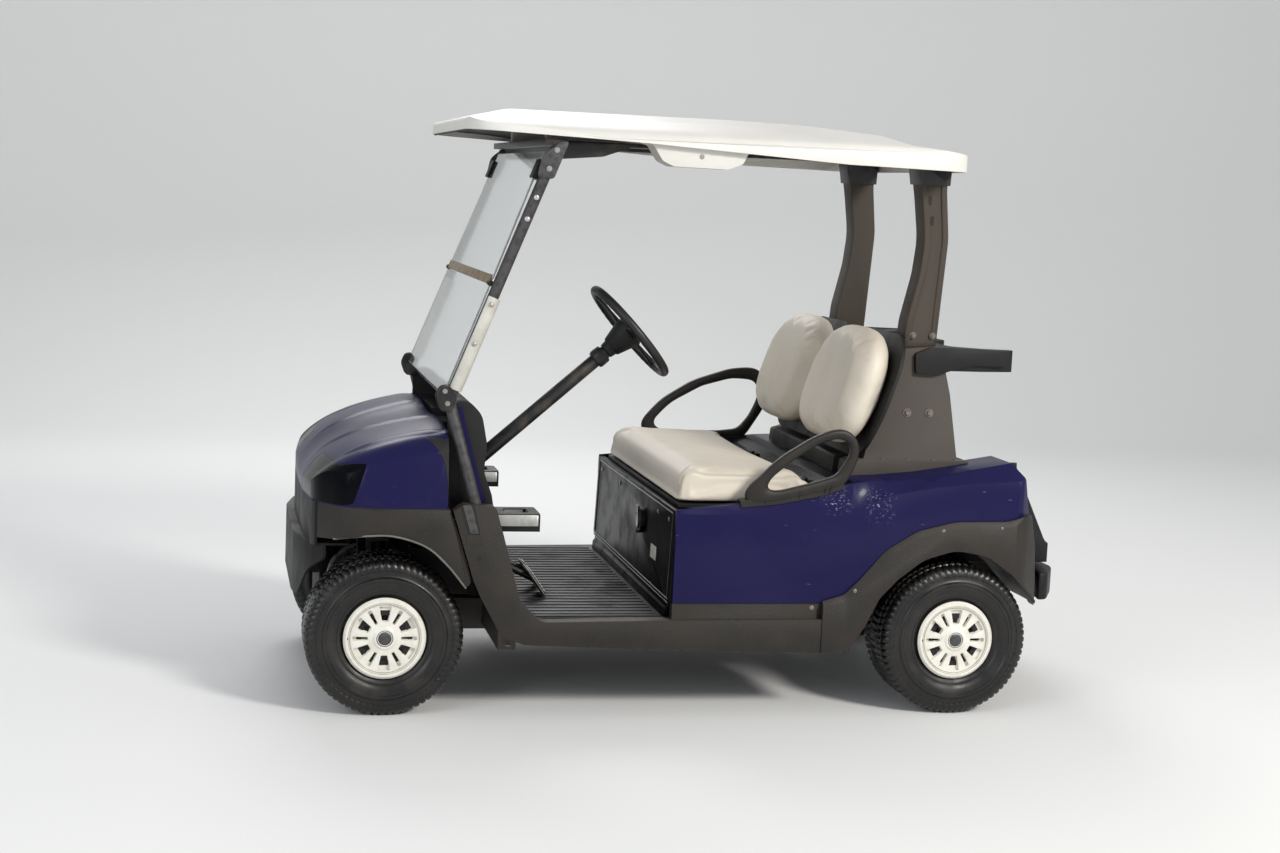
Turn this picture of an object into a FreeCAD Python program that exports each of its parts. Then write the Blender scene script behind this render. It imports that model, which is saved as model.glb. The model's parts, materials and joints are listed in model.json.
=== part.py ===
import FreeCAD, Part
import math
import os

# A two-seat electric golf cart. Millimetres, +X forward, +Y to the driver's left, +Z up.
# The origin is on the floor, under the middle of the cart's outline.

V = FreeCAD.Vector

# Wheels and track
WHEELBASE = 1664.0
FRONT_AXLE_X = 902.0
REAR_AXLE_X = FRONT_AXLE_X - WHEELBASE
FRONT_TRACK = 876.0
REAR_TRACK = 978.0
TYRE_R = 222.0
TYRE_HALF_W = 105.0
TREAD_HALF_W = 80.0
RIDGE_R = 168.0
BEAD_HALF_W = 80.0
RIM_R = 101.5
FLANGE_R = 112.0
FLANGE_T = 7.0
RIM_WALL = 4.0
DISC_Y = 30.0
DISC_T = 8.0
COVER_R = 115.5
COVER_T = 9.0
COVER_PLUG_R = 93.0
COVER_PLUG_T = 10.0
POCKET_DEPTH = 11.0
CAP_R = 28.0
CAP_RECESS_R = 23.5
HUB_R = 34.0
HUB_OUT = 30.0
HUB_IN = 34.0
SPINDLE_R = 14.0
RUN_FIT = 0.1
SEAT_GAP = 0.3

# Steering
KINGPIN_Y = 345.0
KINGPIN_R = 18.0
KINGPIN_TOP_Z = 272.0
KINGPIN_LOW_Z = 172.0
ARM_BACK = 100.0
ARM_IN = 40.0
DAMPER_TOP_Z = 440.0
ARM_T = 12.0
COLUMN_BASE = V(640.0, 300.0, 687.0)
WHEEL_CENTRE = V(195.0, 300.0, 1082.0)
COLUMN_R = 20.0
STEER_RIM_R = 156.0
STEER_GRIP_R = 13.0

# Body outline
NOSE_X = 1150.0
TAIL_X = -1150.0
HALF_WIDTH = 600.0
HOOD_SPLIT_Z = 594.0
BODY_LOW_Z = 333.0
PANEL_T = 5.0
MOULD_T = 6.0
FLOOR_TOP_Z = 286.0
FLOOR_T = 18.0
DASH_LOW_Z = 560.0
HOOD_REAR_X = 742.0
ROCKER_IN_Y = 545.0
KICK_X = 96.0
KICK_T = 18.0
KICK_HALF_Y = 572.4
CUP_R = 42.0
CUP_X = 530.0
CUP_Y = 420.0
CUP_FLOOR_Z = 530.0
CUP_TOP_Z = 566.0
DASH_HALF_Y = 500.0
SEAT_LEDGE_Z = 596.0
SEAT_OPEN_BACK_X = -354.0
SEAT_OPEN_HALF_Y = 540.0
SOCKET_R = 26.0
SOCKET_Y = 160.0
SOCKET_Z = 500.0
ROCKER_OUT_Y = 597.0
ROCKER_END_X = -346.0

# Frame
RAIL_Y = 170.0
RAIL_W = 60.0
FRAME_FRONT_X = 1046.0
RAIL_LOW_Z = 175.0
RAIL_TOP_Z = FLOOR_TOP_Z - FLOOR_T - SEAT_GAP
REAR_RAIL_LOW_Z = 330.0
WELL_FLOOR_Z = 430.0
WELL_FLOOR_T = 14.0
REAR_RAIL_TOP_Z = WELL_FLOOR_Z - WELL_FLOOR_T - SEAT_GAP
WELL_HALF_Y = 372.0
WELL_FRONT_X = -828.0
WELL_RING_X = -976.0
WELL_RING_Y = 190.0
WELL_RING_R = 140.0

# Seat
CUSHION_FRONT_X = 88.0
CUSHION_BACK_X = -338.0
CUSHION_HALF_Y = 520.0
CUSHION_TOP_Z = 706.0
BOARD_T = 12.0
HINGE_X = -352.0
HINGE_Z = 654.0
HINGE_R = 6.0
HINGE_PIN_R = 3.0
HINGE_Y = 300.0
HINGE_HALF_W = 45.0
HINGE_MOVING_HALF_W = 15.0
BACK_ANGLE = 19.0
BACK_LOW_Z = 776.0
BACK_HIGH_Z = 1132.0
BACK_PAD_T = 105.0
BACK_GAP_Y = 34.0
BACK_HALF_Y = 500.0
WING_Y = 330.0
WING_BULGE = 44.0
BACK_FOOT = V(-380.0, 0.0, BACK_LOW_Z)
SHELL_T = 10.0

# Canopy and its supports
ROOF_FRONT_X = 712.0
ROOF_REAR_X = -752.0
ROOF_HALF_Y = 560.0
ROOF_T = 5.0
ROOF_Z = 1716.0
ROOF_DROP = 70.0
POST_Y = 338.0
POST_W = 76.0
TOWER_LOW_Z = 650.0
TOWER_IN_Y = 268.0
TOWER_OUT_Y = 418.0
BAR_T = 10.0
BAR_LOW_Z = 1612.0 + SEAT_GAP
BAR_Y = 330.0
STRUT_R = 16.0
STRUT_TOP = V(466.0, 505.0, 1598.0)
STRUT_KNEE = V(742.0, 509.0, 892.0)
STRUT_FOOT = V(640.0, 568.0, 520.0)
STRUT_BEND = 70.0
SLEEVE_LOW_Z = 922.0
SLEEVE_HIGH_Z = 1180.0
CLIP_LOW_Z = 1504.0
CLIP_HIGH_Z = 1556.0
PANE_T = 5.0
PANE_HALF_LOW = 503.0
PANE_HALF_FOLD = 491.0
PANE_HALF_HIGH = 447.0


def box(x0, x1, y0, y1, z0, z1):
    return Part.makeBox(x1 - x0, y1 - y0, z1 - z0, V(x0, y0, z0))


def rod(radius, start, end):
    run = end - start
    return Part.makeCylinder(radius, run.Length, start, run)


def rounded_wire(corners, place):
    """Closed wire through corners (a, b, radius), with an arc where the radius isn't zero."""
    count = len(corners)
    arcs = []
    for i in range(count):
        here = V(corners[i][0], corners[i][1], 0)
        back = V(corners[i - 1][0], corners[i - 1][1], 0) - here
        ahead = V(corners[(i + 1) % count][0], corners[(i + 1) % count][1], 0) - here
        radius = corners[i][2]
        half = back.getAngle(ahead) / 2
        if radius == 0 or half > math.pi / 2 - 0.01:
            arcs.append((here, None, here))
            continue
        reach = min(radius / math.tan(half), 0.48 * back.Length, 0.48 * ahead.Length)
        radius = reach * math.tan(half)
        back.normalize()
        ahead.normalize()
        middle = back + ahead
        middle.normalize()
        arcs.append((here + back * reach, here + middle * (radius / math.sin(half) - radius),
                     here + ahead * reach))
    edges = []
    for i in range(count):
        start, middle, end = arcs[i]
        if middle is not None:
            edges.append(Part.Arc(place(start), place(middle), place(end)).toShape())
        after = arcs[(i + 1) % count][0]
        if (after - end).Length > 1e-4:
            edges.append(Part.LineSegment(place(end), place(after)).toShape())
    return Part.Wire(edges)


def side_prism(corners, y0, y1):
    """Corners are (x, z, radius); the outline is carried from y0 to y1."""
    wire = rounded_wire(corners, lambda p: V(p.x, y0, p.y))
    return Part.Face(wire).extrude(V(0, y1 - y0, 0))


def plan_prism(corners, z0, z1):
    """Corners are (x, y, radius)."""
    wire = rounded_wire(corners, lambda p: V(p.x, p.y, z0))
    return Part.Face(wire).extrude(V(0, 0, z1 - z0))


def front_prism(corners, x0, x1):
    """Corners are (y, z, radius)."""
    wire = rounded_wire(corners, lambda p: V(x0, p.x, p.y))
    return Part.Face(wire).extrude(V(x1 - x0, 0, 0))


def grown(corners, by):
    """The same corners moved outward by an amount, inward when it is negative."""
    count = len(corners)
    area = 0.0
    for i in range(count):
        a, b = corners[i], corners[(i + 1) % count]
        area += a[0] * b[1] - b[0] * a[1]
    turn = 1.0 if area > 0 else -1.0
    moved = []
    for i in range(count):
        here = V(corners[i][0], corners[i][1], 0)
        before = here - V(corners[i - 1][0], corners[i - 1][1], 0)
        after = V(corners[(i + 1) % count][0], corners[(i + 1) % count][1], 0) - here
        n1 = V(before.y, -before.x, 0) * turn
        n2 = V(after.y, -after.x, 0) * turn
        n1.normalize()
        n2.normalize()
        bisector = (n1 + n2) * (1.0 / (1.0 + n1.dot(n2)))
        point = here + bisector * by
        moved.append((point.x, point.y, max(corners[i][2] + by, 0)))
    return moved


def mirrored(corners):
    """A half outline from the middle plane outward, completed on the other side."""
    other = [(a, -b, r) for a, b, r in reversed(corners) if abs(b) > 1e-6]
    return corners + other


def mirror_y(shape):
    return shape.mirror(V(0, 0, 0), V(0, 1, 0))


def both_sides(shape):
    return Part.makeCompound([shape, mirror_y(shape)])


def joined(shapes):
    whole = shapes[0].fuse(shapes[1:])
    return whole.removeSplitter()


def bent_tube(points, radius, bends):
    """A tube along points, with an arc of the given radius at each inner point."""
    edges = []
    start = points[0]
    for i in range(1, len(points) - 1):
        here = points[i]
        back = points[i - 1] - here
        ahead = points[i + 1] - here
        half = back.getAngle(ahead) / 2
        reach = min(bends[i - 1] / math.tan(half), 0.48 * back.Length, 0.48 * ahead.Length)
        bend = reach * math.tan(half)
        back.normalize()
        ahead.normalize()
        middle = back + ahead
        middle.normalize()
        first = here + back * reach
        last = here + ahead * reach
        edges.append(Part.LineSegment(start, first).toShape())
        edges.append(Part.Arc(first, here + middle * (bend / math.sin(half) - bend), last).toShape())
        start = last
    edges.append(Part.LineSegment(start, points[-1]).toShape())
    path = Part.Wire(edges)
    ring = Part.Wire(Part.Circle(points[0], points[1] - points[0], radius).toShape())
    return path.makePipeShell([ring], True, True)


def about_axle(profile, x, y, side):
    """Revolve corners (offset along the axle, radius, corner radius) about a wheel's axle."""
    wire = rounded_wire(profile, lambda p: V(x, y + side * p.x, TYRE_R + p.y))
    return Part.Face(wire).revolve(V(x, y, TYRE_R), V(0, 1, 0), 360)


def tyre_shape(x, y):
    """Tyre with a raised ring on each sidewall."""
    half = [
        (BEAD_HALF_W, RIM_R + SEAT_GAP, 0), (BEAD_HALF_W, FLANGE_R + 4, 0), (TYRE_HALF_W - 2, RIDGE_R - 14, 0),
        (TYRE_HALF_W, RIDGE_R, 0), (TYRE_HALF_W - 7, RIDGE_R + 8, 0), (TYRE_HALF_W - 9, TYRE_R - 22, 0),
        (TREAD_HALF_W, TYRE_R, 0),
    ]
    other = [(-a, b, r) for a, b, r in reversed(half)]
    return about_axle(half + other, x, y, 1)


def rim_shape(x, y, side):
    """Steel rim: barrel with two flanges, a disc and a hub that runs on the spindle."""
    lip = BEAD_HALF_W + SEAT_GAP
    inner = RIM_R - RIM_WALL
    bore = SPINDLE_R + RUN_FIT
    profile = [
        (-lip - FLANGE_T, inner, 0), (-lip - FLANGE_T, FLANGE_R - 2, 0), (-lip - FLANGE_T + 2, FLANGE_R, 0),
        (-lip, FLANGE_R, 0), (-lip, RIM_R, 0), (lip, RIM_R, 0), (lip, FLANGE_R, 0),
        (lip + FLANGE_T - 2, FLANGE_R, 0), (lip + FLANGE_T, FLANGE_R - 2, 0), (lip + FLANGE_T, inner, 0),
        (DISC_Y + DISC_T + 6, inner, 0), (DISC_Y + DISC_T, inner - 6, 0), (DISC_Y + DISC_T, HUB_R, 0),
        (DISC_Y + HUB_OUT, HUB_R, 0), (DISC_Y + HUB_OUT, bore, 0), (DISC_Y - HUB_IN, bore, 0),
        (DISC_Y - HUB_IN, HUB_R, 0), (DISC_Y, HUB_R, 0), (DISC_Y, inner - 6, 0), (DISC_Y - 6, inner, 0),
    ]
    return about_axle(profile, x, y, side)


# Wheel cover windows: first angle, count, inner radius, outer radius, inner and outer half width,
# radius up to which the window goes right through
COVER_WINDOWS = [(90.0, 6, 48.0, 91.0, 9.0, 18.0, 68.0), (60.0, 6, 46.0, 90.0, 4.5, 6.0, 66.0)]


def cover_shape(x, y, side):
    """Dished cover with a ring, twelve spokes between sunk windows, and a recessed cap."""
    back = BEAD_HALF_W + 2 * SEAT_GAP + FLANGE_T
    face = back + COVER_T
    profile = [
        (back - COVER_PLUG_T, 0, 0), (back - COVER_PLUG_T, COVER_PLUG_R, 0), (back, COVER_PLUG_R + 1, 0),
        (back, COVER_R - 2, 0), (back + 3, COVER_R, 0), (face, COVER_R - 7, 0), (face - 1, COVER_R - 16, 0),
        (face - 4, COVER_R - 20, 0), (face - 3, CAP_R + 6, 0), (face + 1, CAP_R, 0), (face + 1, CAP_RECESS_R, 0),
        (face - 3, CAP_RECESS_R, 0), (face - 3, 0, 0),
    ]
    centre = V(x, y, TYRE_R)
    disc = about_axle(profile, x, y, side)
    disc.rotate(centre, V(0, 1, 0), 15)
    floor = face - 4 - POCKET_DEPTH
    cutters = []
    for first, count, low, high, w_low, w_high, through in COVER_WINDOWS:
        w_mid = w_low + (w_high - w_low) * (through - low) / (high - low)
        pocket = [(x - w_low, TYRE_R + low, 3), (x + w_low, TYRE_R + low, 3),
                  (x + w_high, TYRE_R + high, 4), (x - w_high, TYRE_R + high, 4)]
        hole = [(x - w_low + 1, TYRE_R + low + 1, 0), (x + w_low - 1, TYRE_R + low + 1, 0),
                (x + w_mid - 1, TYRE_R + through, 0), (x - w_mid + 1, TYRE_R + through, 0)]
        sunk = side_prism(pocket, y + side * floor, y + side * (face + 5))
        cutter = sunk.fuse(side_prism(hole, y + side * (back - COVER_PLUG_T - 5), y + side * (floor + 1)))
        for k in range(count):
            turned = cutter.copy()
            turned.rotate(centre, V(0, 1, 0), first - 90 + k * 360.0 / count)
            cutters.append(turned)
    return disc.cut(cutters)


def knuckle_shape(side):
    """Kingpin barrel with its spindle and steering arm, on the left; mirrored for the right."""
    barrel = rod(KINGPIN_R, V(FRONT_AXLE_X, KINGPIN_Y, KINGPIN_LOW_Z + SEAT_GAP),
                 V(FRONT_AXLE_X, KINGPIN_Y, KINGPIN_TOP_Z - SEAT_GAP))
    hub_y = FRONT_TRACK / 2 + DISC_Y + 26
    spindle = rod(SPINDLE_R, V(FRONT_AXLE_X, KINGPIN_Y, TYRE_R), V(FRONT_AXLE_X, hub_y, TYRE_R))
    boss = rod(26, V(FRONT_AXLE_X, KINGPIN_Y, TYRE_R), V(FRONT_AXLE_X, FRONT_TRACK / 2 + DISC_Y - 38, TYRE_R))
    arm_z = KINGPIN_LOW_Z + 6
    eye = V(FRONT_AXLE_X - ARM_BACK, KINGPIN_Y - ARM_IN, arm_z)
    arm = plan_prism([
        (FRONT_AXLE_X + 14, KINGPIN_Y - 12, 6), (FRONT_AXLE_X + 14, KINGPIN_Y + 12, 6),
        (FRONT_AXLE_X - 14, KINGPIN_Y - 4, 6), (eye.x - 12, eye.y + 8, 7), (eye.x - 12, eye.y - 14, 7),
    ], arm_z, arm_z + ARM_T)
    whole = joined([barrel, spindle, boss, arm])
    return whole if side > 0 else mirror_y(whole)


def tie_rod_shape():
    """Cross rod whose flat eyes lie on the two steering arms."""
    z0 = KINGPIN_LOW_Z + 6 + ARM_T + SEAT_GAP
    x = FRONT_AXLE_X - ARM_BACK
    end_y = KINGPIN_Y - ARM_IN
    pieces = [rod(11, V(x, -end_y + 14, z0 + 11), V(x, end_y - 14, z0 + 11))]
    for side in (1, -1):
        pieces.append(rod(12, V(x, side * end_y, z0), V(x, side * end_y, z0 + 12)))
        pieces.append(box(x - 9, x + 9, min(side * end_y, side * (end_y - 30)),
                          max(side * end_y, side * (end_y - 30)), z0, z0 + 12))
    return joined(pieces)


def frame_shape():
    """Two rails that step up over the rear axle, with cross members."""
    rail = side_prism([
        (FRAME_FRONT_X, RAIL_TOP_Z, 6), (FRAME_FRONT_X, RAIL_LOW_Z, 6), (-440, RAIL_LOW_Z, 30), (-560, REAR_RAIL_LOW_Z, 30),
        (-1084, REAR_RAIL_LOW_Z, 6), (-1084, REAR_RAIL_TOP_Z, 6), (-600, REAR_RAIL_TOP_Z, 30),
        (-480, RAIL_TOP_Z, 30),
    ], RAIL_Y - RAIL_W / 2, RAIL_Y + RAIL_W / 2)
    pieces = [rail, mirror_y(rail)]
    # Cross members: x, low z, high z, half length
    for x, low, high, half in [(1016, 180, 260, 150), (560, 190, 260, 540), (100, 190, 260, 540),
                               (-330, 190, 260, 540), (-1050, 335, 395, 150)]:
        pieces.append(box(x - 25, x + 25, -half, half, low, high))
    for side in (1, -1):
        post = box(FRONT_AXLE_X - 30, FRONT_AXLE_X + 30, 150, 200, RAIL_TOP_Z - 8, DAMPER_TOP_Z + 16)
        plate = box(FRONT_AXLE_X - 30, FRONT_AXLE_X + 30, 150, 250, DAMPER_TOP_Z + 6, DAMPER_TOP_Z + 16)
        pieces += [post, plate] if side > 0 else [mirror_y(post), mirror_y(plate)]
    slot = box(FRONT_AXLE_X - ARM_BACK - 18, FRONT_AXLE_X - ARM_BACK + 18, -300, 300, KINGPIN_LOW_Z + 10,
               KINGPIN_LOW_Z + 50)
    return joined(pieces).cut(slot)


def front_suspension_shape():
    """Forked arms from the rails to the kingpins, one above and one below, with dampers."""
    pieces = []
    for z in (KINGPIN_LOW_Z - 12, KINGPIN_TOP_Z):
        arm = plan_prism([
            (FRONT_AXLE_X - 80, RAIL_Y - 10, 4), (FRONT_AXLE_X + 80, RAIL_Y - 10, 4),
            (FRONT_AXLE_X + 24, KINGPIN_Y + 6, 14), (FRONT_AXLE_X - 24, KINGPIN_Y + 6, 14),
        ], z, z + 12)
        pieces.append(arm)
    rail_side = RAIL_Y + RAIL_W / 2
    web = box(FRONT_AXLE_X - 70, FRONT_AXLE_X + 70, rail_side + SEAT_GAP, rail_side + 14,
              KINGPIN_LOW_Z - 12, KINGPIN_TOP_Z + 12)
    damper = rod(22, V(FRONT_AXLE_X, 262, KINGPIN_TOP_Z + 8), V(FRONT_AXLE_X, 226, DAMPER_TOP_Z))
    cut = box(FRONT_AXLE_X - 90, FRONT_AXLE_X + 90, 0, rail_side + SEAT_GAP, 100, 300)
    side = joined(pieces + [web]).cut(cut)
    side = joined([side, damper])
    return both_sides(side)


def rear_axle_shape():
    """Axle tube with its gear housing and the stubs that carry the wheels."""
    stub_y = REAR_TRACK / 2 + DISC_Y + 26
    pieces = [rod(SPINDLE_R, V(REAR_AXLE_X, -stub_y, TYRE_R), V(REAR_AXLE_X, stub_y, TYRE_R)),
              rod(34, V(REAR_AXLE_X, -REAR_TRACK / 2 + 60, TYRE_R), V(REAR_AXLE_X, REAR_TRACK / 2 - 60, TYRE_R)),
              rod(108, V(REAR_AXLE_X, -30, TYRE_R), V(REAR_AXLE_X, 70, TYRE_R))]
    for side in (1, -1):
        pieces.append(rod(84, V(REAR_AXLE_X, side * (REAR_TRACK / 2 - 62), TYRE_R),
                          V(REAR_AXLE_X, side * (REAR_TRACK / 2 - 14), TYRE_R)))
    return joined(pieces)


def motor_shape():
    x = REAR_AXLE_X + 60
    return joined([rod(88, V(x, 70 + SEAT_GAP, TYRE_R + 8), V(x, 128, TYRE_R + 8)),
                   rod(78, V(x, 128, TYRE_R + 8), V(x, 230, TYRE_R + 8))]).cut(
                       rod(34 + 1, V(REAR_AXLE_X, 0, TYRE_R), V(REAR_AXLE_X, 400, TYRE_R)))


def rear_suspension_shape():
    """A leaf spring under each side of the axle and a damper."""
    y = RAIL_Y + RAIL_W / 2 + 60
    leaf = side_prism([
        (REAR_AXLE_X - 290, 318, 0), (REAR_AXLE_X, 268, 900), (REAR_AXLE_X + 290, 318, 0),
        (REAR_AXLE_X + 290, 304, 0), (REAR_AXLE_X, 256 + SEAT_GAP, 900), (REAR_AXLE_X - 290, 304, 0),
    ], y - 25, y + 25)
    hangers = []
    for x in (REAR_AXLE_X - 284, REAR_AXLE_X + 284):
        hangers.append(box(x - 12, x + 12, RAIL_Y + RAIL_W / 2 + SEAT_GAP, y + 25, 312, 372))
    damper = rod(20, V(REAR_AXLE_X - 60, y + 48, 262), V(REAR_AXLE_X - 60, y - 20, 385))
    bracket = box(REAR_AXLE_X - 80, REAR_AXLE_X - 40, RAIL_Y + RAIL_W / 2 + SEAT_GAP, y - 10, 360, 400)
    hangers.append(bracket)
    foot = box(REAR_AXLE_X - 84, REAR_AXLE_X + 10, y + 20, y + 70, 256 + SEAT_GAP, 274)
    return both_sides(joined([leaf, foot, damper] + hangers))


# Front corner in plan: x, y, corner radius
FRONT_PLAN = [(1128, 0, 0), (1124, 260, 500), (1106, 440, 160), (1020, 556, 160), (900, 584, 400),
              (742, 586, 0), (742, 0, 0)]

# Hood cross sections: x, middle height, inner ridge y and z, outer ridge y and z, side edge y and z, foot y
HOOD_SECTIONS = [
    (742.0, 801.0, 152.0, 811.0, 470.0, 804.0, 552.0, 758.0, 574.0),
    (870.0, 776.0, 144.0, 788.0, 474.0, 779.0, 560.0, 728.0, 582.0),
    (985.0, 740.0, 134.0, 751.0, 462.0, 740.0, 552.0, 698.0, 578.0),
    (1075.0, 688.0, 122.0, 696.0, 430.0, 685.0, 532.0, 650.0, 566.0),
    (1128.0, 622.0, 112.0, 624.0, 400.0, 618.0, 506.0, 606.0, 550.0),
]
RIDGE_CROWN = 6.0
EDGE_CROWN = 11.0


def hood_wire(row, inset):
    """One cross section: flat foot, side, rounded edge, outer panel and sunk middle panel."""
    x, z0, y1, z1, y2, z2, y3, z3, foot = row
    low = HOOD_SPLIT_Z + SEAT_GAP - 4 * inset
    z0, z1, z2, z3 = z0 - inset, z1 - inset, z2 - inset, z3 - inset * 0.4
    y2, y3, foot = y2 - inset * 0.4, y3 - inset, foot - inset
    edges = [Part.LineSegment(V(x, -foot, low), V(x, foot, low)).toShape()]
    edges.append(Part.LineSegment(V(x, foot, low), V(x, y3, z3)).toShape())
    edge_mid = (y2 + y3) / 2 + EDGE_CROWN, (z2 + z3) / 2 + EDGE_CROWN
    panel_mid = (y1 + y2) / 2, (z1 + z2) / 2 + RIDGE_CROWN
    edges.append(Part.Arc(V(x, y3, z3), V(x, *edge_mid), V(x, y2, z2)).toShape())
    edges.append(Part.Arc(V(x, y2, z2), V(x, *panel_mid), V(x, y1, z1)).toShape())
    edges.append(Part.Arc(V(x, y1, z1), V(x, 0, z0), V(x, -y1, z1)).toShape())
    edges.append(Part.Arc(V(x, -y1, z1), V(x, -panel_mid[0], panel_mid[1]), V(x, -y2, z2)).toShape())
    edges.append(Part.Arc(V(x, -y2, z2), V(x, -edge_mid[0], edge_mid[1]), V(x, -y3, z3)).toShape())
    edges.append(Part.LineSegment(V(x, -y3, z3), V(x, -foot, low)).toShape())
    return Part.Wire(edges)


def hood_volume(inset):
    body = Part.makeLoft([hood_wire(row, inset) for row in HOOD_SECTIONS], True, False)
    plan = plan_prism(grown(mirrored(FRONT_PLAN[:-1]), -inset), 500, 900)
    return body.common(plan)


# Headlight opening seen from the side: x, z, corner radius
LAMP_OUTLINE = [(966, 716, 5), (1002, 604, 14), (1032, 598, 10), (1240, 598, 0), (1240, 704, 0), (1088, 700, 20)]
LAMP_IN_Y = 250.0


def lamp_window(gap):
    return side_prism(grown(LAMP_OUTLINE, gap), LAMP_IN_Y - gap, 700)


def hood_shape():
    shell = hood_volume(0).cut(hood_volume(PANEL_T))
    for side in (lamp_window(SEAT_GAP), mirror_y(lamp_window(SEAT_GAP))):
        shell = shell.cut(side)
    return shell


def headlight_shape():
    lens = hood_volume(0).cut(hood_volume(PANEL_T)).common(lamp_window(0))
    return both_sides(lens)


# Front wheel arch from the front backward: x and z from the axle, corner radius
FRONT_ARCH = [(298, 256, 0), (148, 278, 200), (58, 296, 120), (-17, 298, 120), (-102, 270, 160),
              (-162, 218, 120), (-216, 153, 12)]
# Front fender behind and above the arch: x, z, corner radius
FENDER_BACK = [(671, 394, 20), (712, 530, 200), (736, HOOD_SPLIT_Z, 0), (1200, HOOD_SPLIT_Z, 0)]
FENDER_OUTLINE = [(FRONT_AXLE_X + a, TYRE_R + b, r) for a, b, r in FRONT_ARCH] + FENDER_BACK
FENDER_IN_Y = 452.0
LINER_FRONT_X = 995.0
LINER_IN_Y = 290.0
LINER_LOW_Z = 430.0


def front_fender_shape():
    """Skin with the arch's wall, which reaches further in over the tyre as a liner."""
    plan = FRONT_PLAN[:-2] + [(600, 588, 0), (600, 0, 0)]
    outer = side_prism(FENDER_OUTLINE, 0, 640).common(plan_prism(plan, 300, 700))
    inner = side_prism(grown(FENDER_OUTLINE, -MOULD_T), -10, 640).common(
        plan_prism(grown(plan, -MOULD_T), 300, 700))
    keep = box(600, 1200, FENDER_IN_Y, 640, 300, 700).fuse(
        box(690, LINER_FRONT_X, LINER_IN_Y, FENDER_IN_Y + 1, LINER_LOW_Z, DASH_LOW_Z - 5))
    dash_room = box(500, HOOD_REAR_X, 0, DASH_HALF_Y + SEAT_GAP, DASH_LOW_Z - SEAT_GAP, 800)
    return both_sides(outer.cut(inner).common(keep).cut(dash_room))


def front_bumper_shape():
    """Centre piece under the hood and between the fenders, with its lower edge cut up for the wheels."""
    upper_plan = [(1128, 0, 0), (1124, 260, 500), (1106, 440, 160), (1080, 480, 0), (1000, 480, 0), (1000, 0, 0)]
    upper = plan_prism(mirrored(upper_plan), 470, HOOD_SPLIT_Z)
    half = FENDER_IN_Y - SEAT_GAP
    upper = upper.common(box(1000, 1200, -half, half, 400, 700))
    upper_in = plan_prism(mirrored(grown(upper_plan[:-2] + [(900, 480, 0), (900, 0, 0)], -MOULD_T)), 400, HOOD_SPLIT_Z - MOULD_T)
    plan = [(NOSE_X, 0, 0), (NOSE_X, 230, 300), (1118, 400, 120), (1060, 470, 60), (1000, 470, 0), (1000, 0, 0)]
    lower = plan_prism(mirrored(plan), 300, 476)
    front = [(0, 300, 0), (300, 300, 40), (410, 400, 60), (452, 430, 20), (452, 476, 0), (0, 476, 0)]
    lower = lower.common(front_prism([(-y, z, r) for y, z, r in reversed(front[1:-1])] + front[1:-1], 900, 1300))
    lower_in = plan_prism(mirrored(grown(plan[:-2] + [(900, 470, 0), (900, 0, 0)], -MOULD_T)), 200, 470)
    upper = upper.cut(upper_in)
    lower = lower.cut(lower_in)
    tie = box(FRAME_FRONT_X + SEAT_GAP, NOSE_X - MOULD_T + 2, -130, 130, 330, 400)
    tie_web = box(FRAME_FRONT_X + SEAT_GAP, FRAME_FRONT_X + 20, -190, 190, RAIL_LOW_Z + 10, 400)
    return joined([upper, lower, tie, tie_web])


# Dash in side view: x, z, corner radius
DASH_OUTLINE = [
    (HOOD_REAR_X - SEAT_GAP, DASH_LOW_Z, 0), (600, DASH_LOW_Z, 10), (612, 626, 40), (636, 690, 60),
    (630, 770, 60), (646, 850, 60), (684, 890, 40), (HOOD_REAR_X - SEAT_GAP, 880, 20),
]
# Open bays in the dash: y low, y high, z low, z high
DASH_BAYS = [(-440, -60, 700, 800), (60, 190, 720, 790)]
BAY_BACK_X = 721.0
CUP_TRAY_X = (468.0, 604.0)
CUP_TRAY_HALF_Y = 62.0
CUP_TRAY_T = 12.0


def dash_shape():
    """Hollow dash with open bays, a hole for the column and a cup tray at each end."""
    body = side_prism(DASH_OUTLINE, -DASH_HALF_Y, DASH_HALF_Y)
    inner = grown(DASH_OUTLINE, -MOULD_T)[1:-1] + [(800, 870, 0), (800, DASH_LOW_Z + MOULD_T, 0)]
    shell = body.cut(side_prism(inner, -DASH_HALF_Y + MOULD_T, DASH_HALF_Y - MOULD_T))
    for y0, y1, z0, z1 in DASH_BAYS:
        shell = shell.cut(box(560, 700, y0, y1, z0, z1))
        tray = box(640, BAY_BACK_X + 4, y0 - 4, y1 + 4, z0 - 4, z1 + 4)
        shell = shell.fuse(tray.cut(box(600, BAY_BACK_X, y0, y1, z0, z1)))
    column = COLUMN_BASE + (COLUMN_BASE - WHEEL_CENTRE) * 0.3
    shell = shell.cut(rod(COLUMN_R + SEAT_GAP, column, WHEEL_CENTRE))
    for y in (CUP_Y, -CUP_Y):
        low, high = y - CUP_TRAY_HALF_Y, y + CUP_TRAY_HALF_Y
        tray = box(CUP_TRAY_X[0], CUP_TRAY_X[1], low, high, CUP_FLOOR_Z - CUP_TRAY_T, CUP_TOP_Z)
        shell = shell.fuse(tray.cut(rod(CUP_R, V(CUP_X, y, CUP_FLOOR_Z), V(CUP_X, y, CUP_TOP_Z + 1))))
    return shell.removeSplitter()


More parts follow.
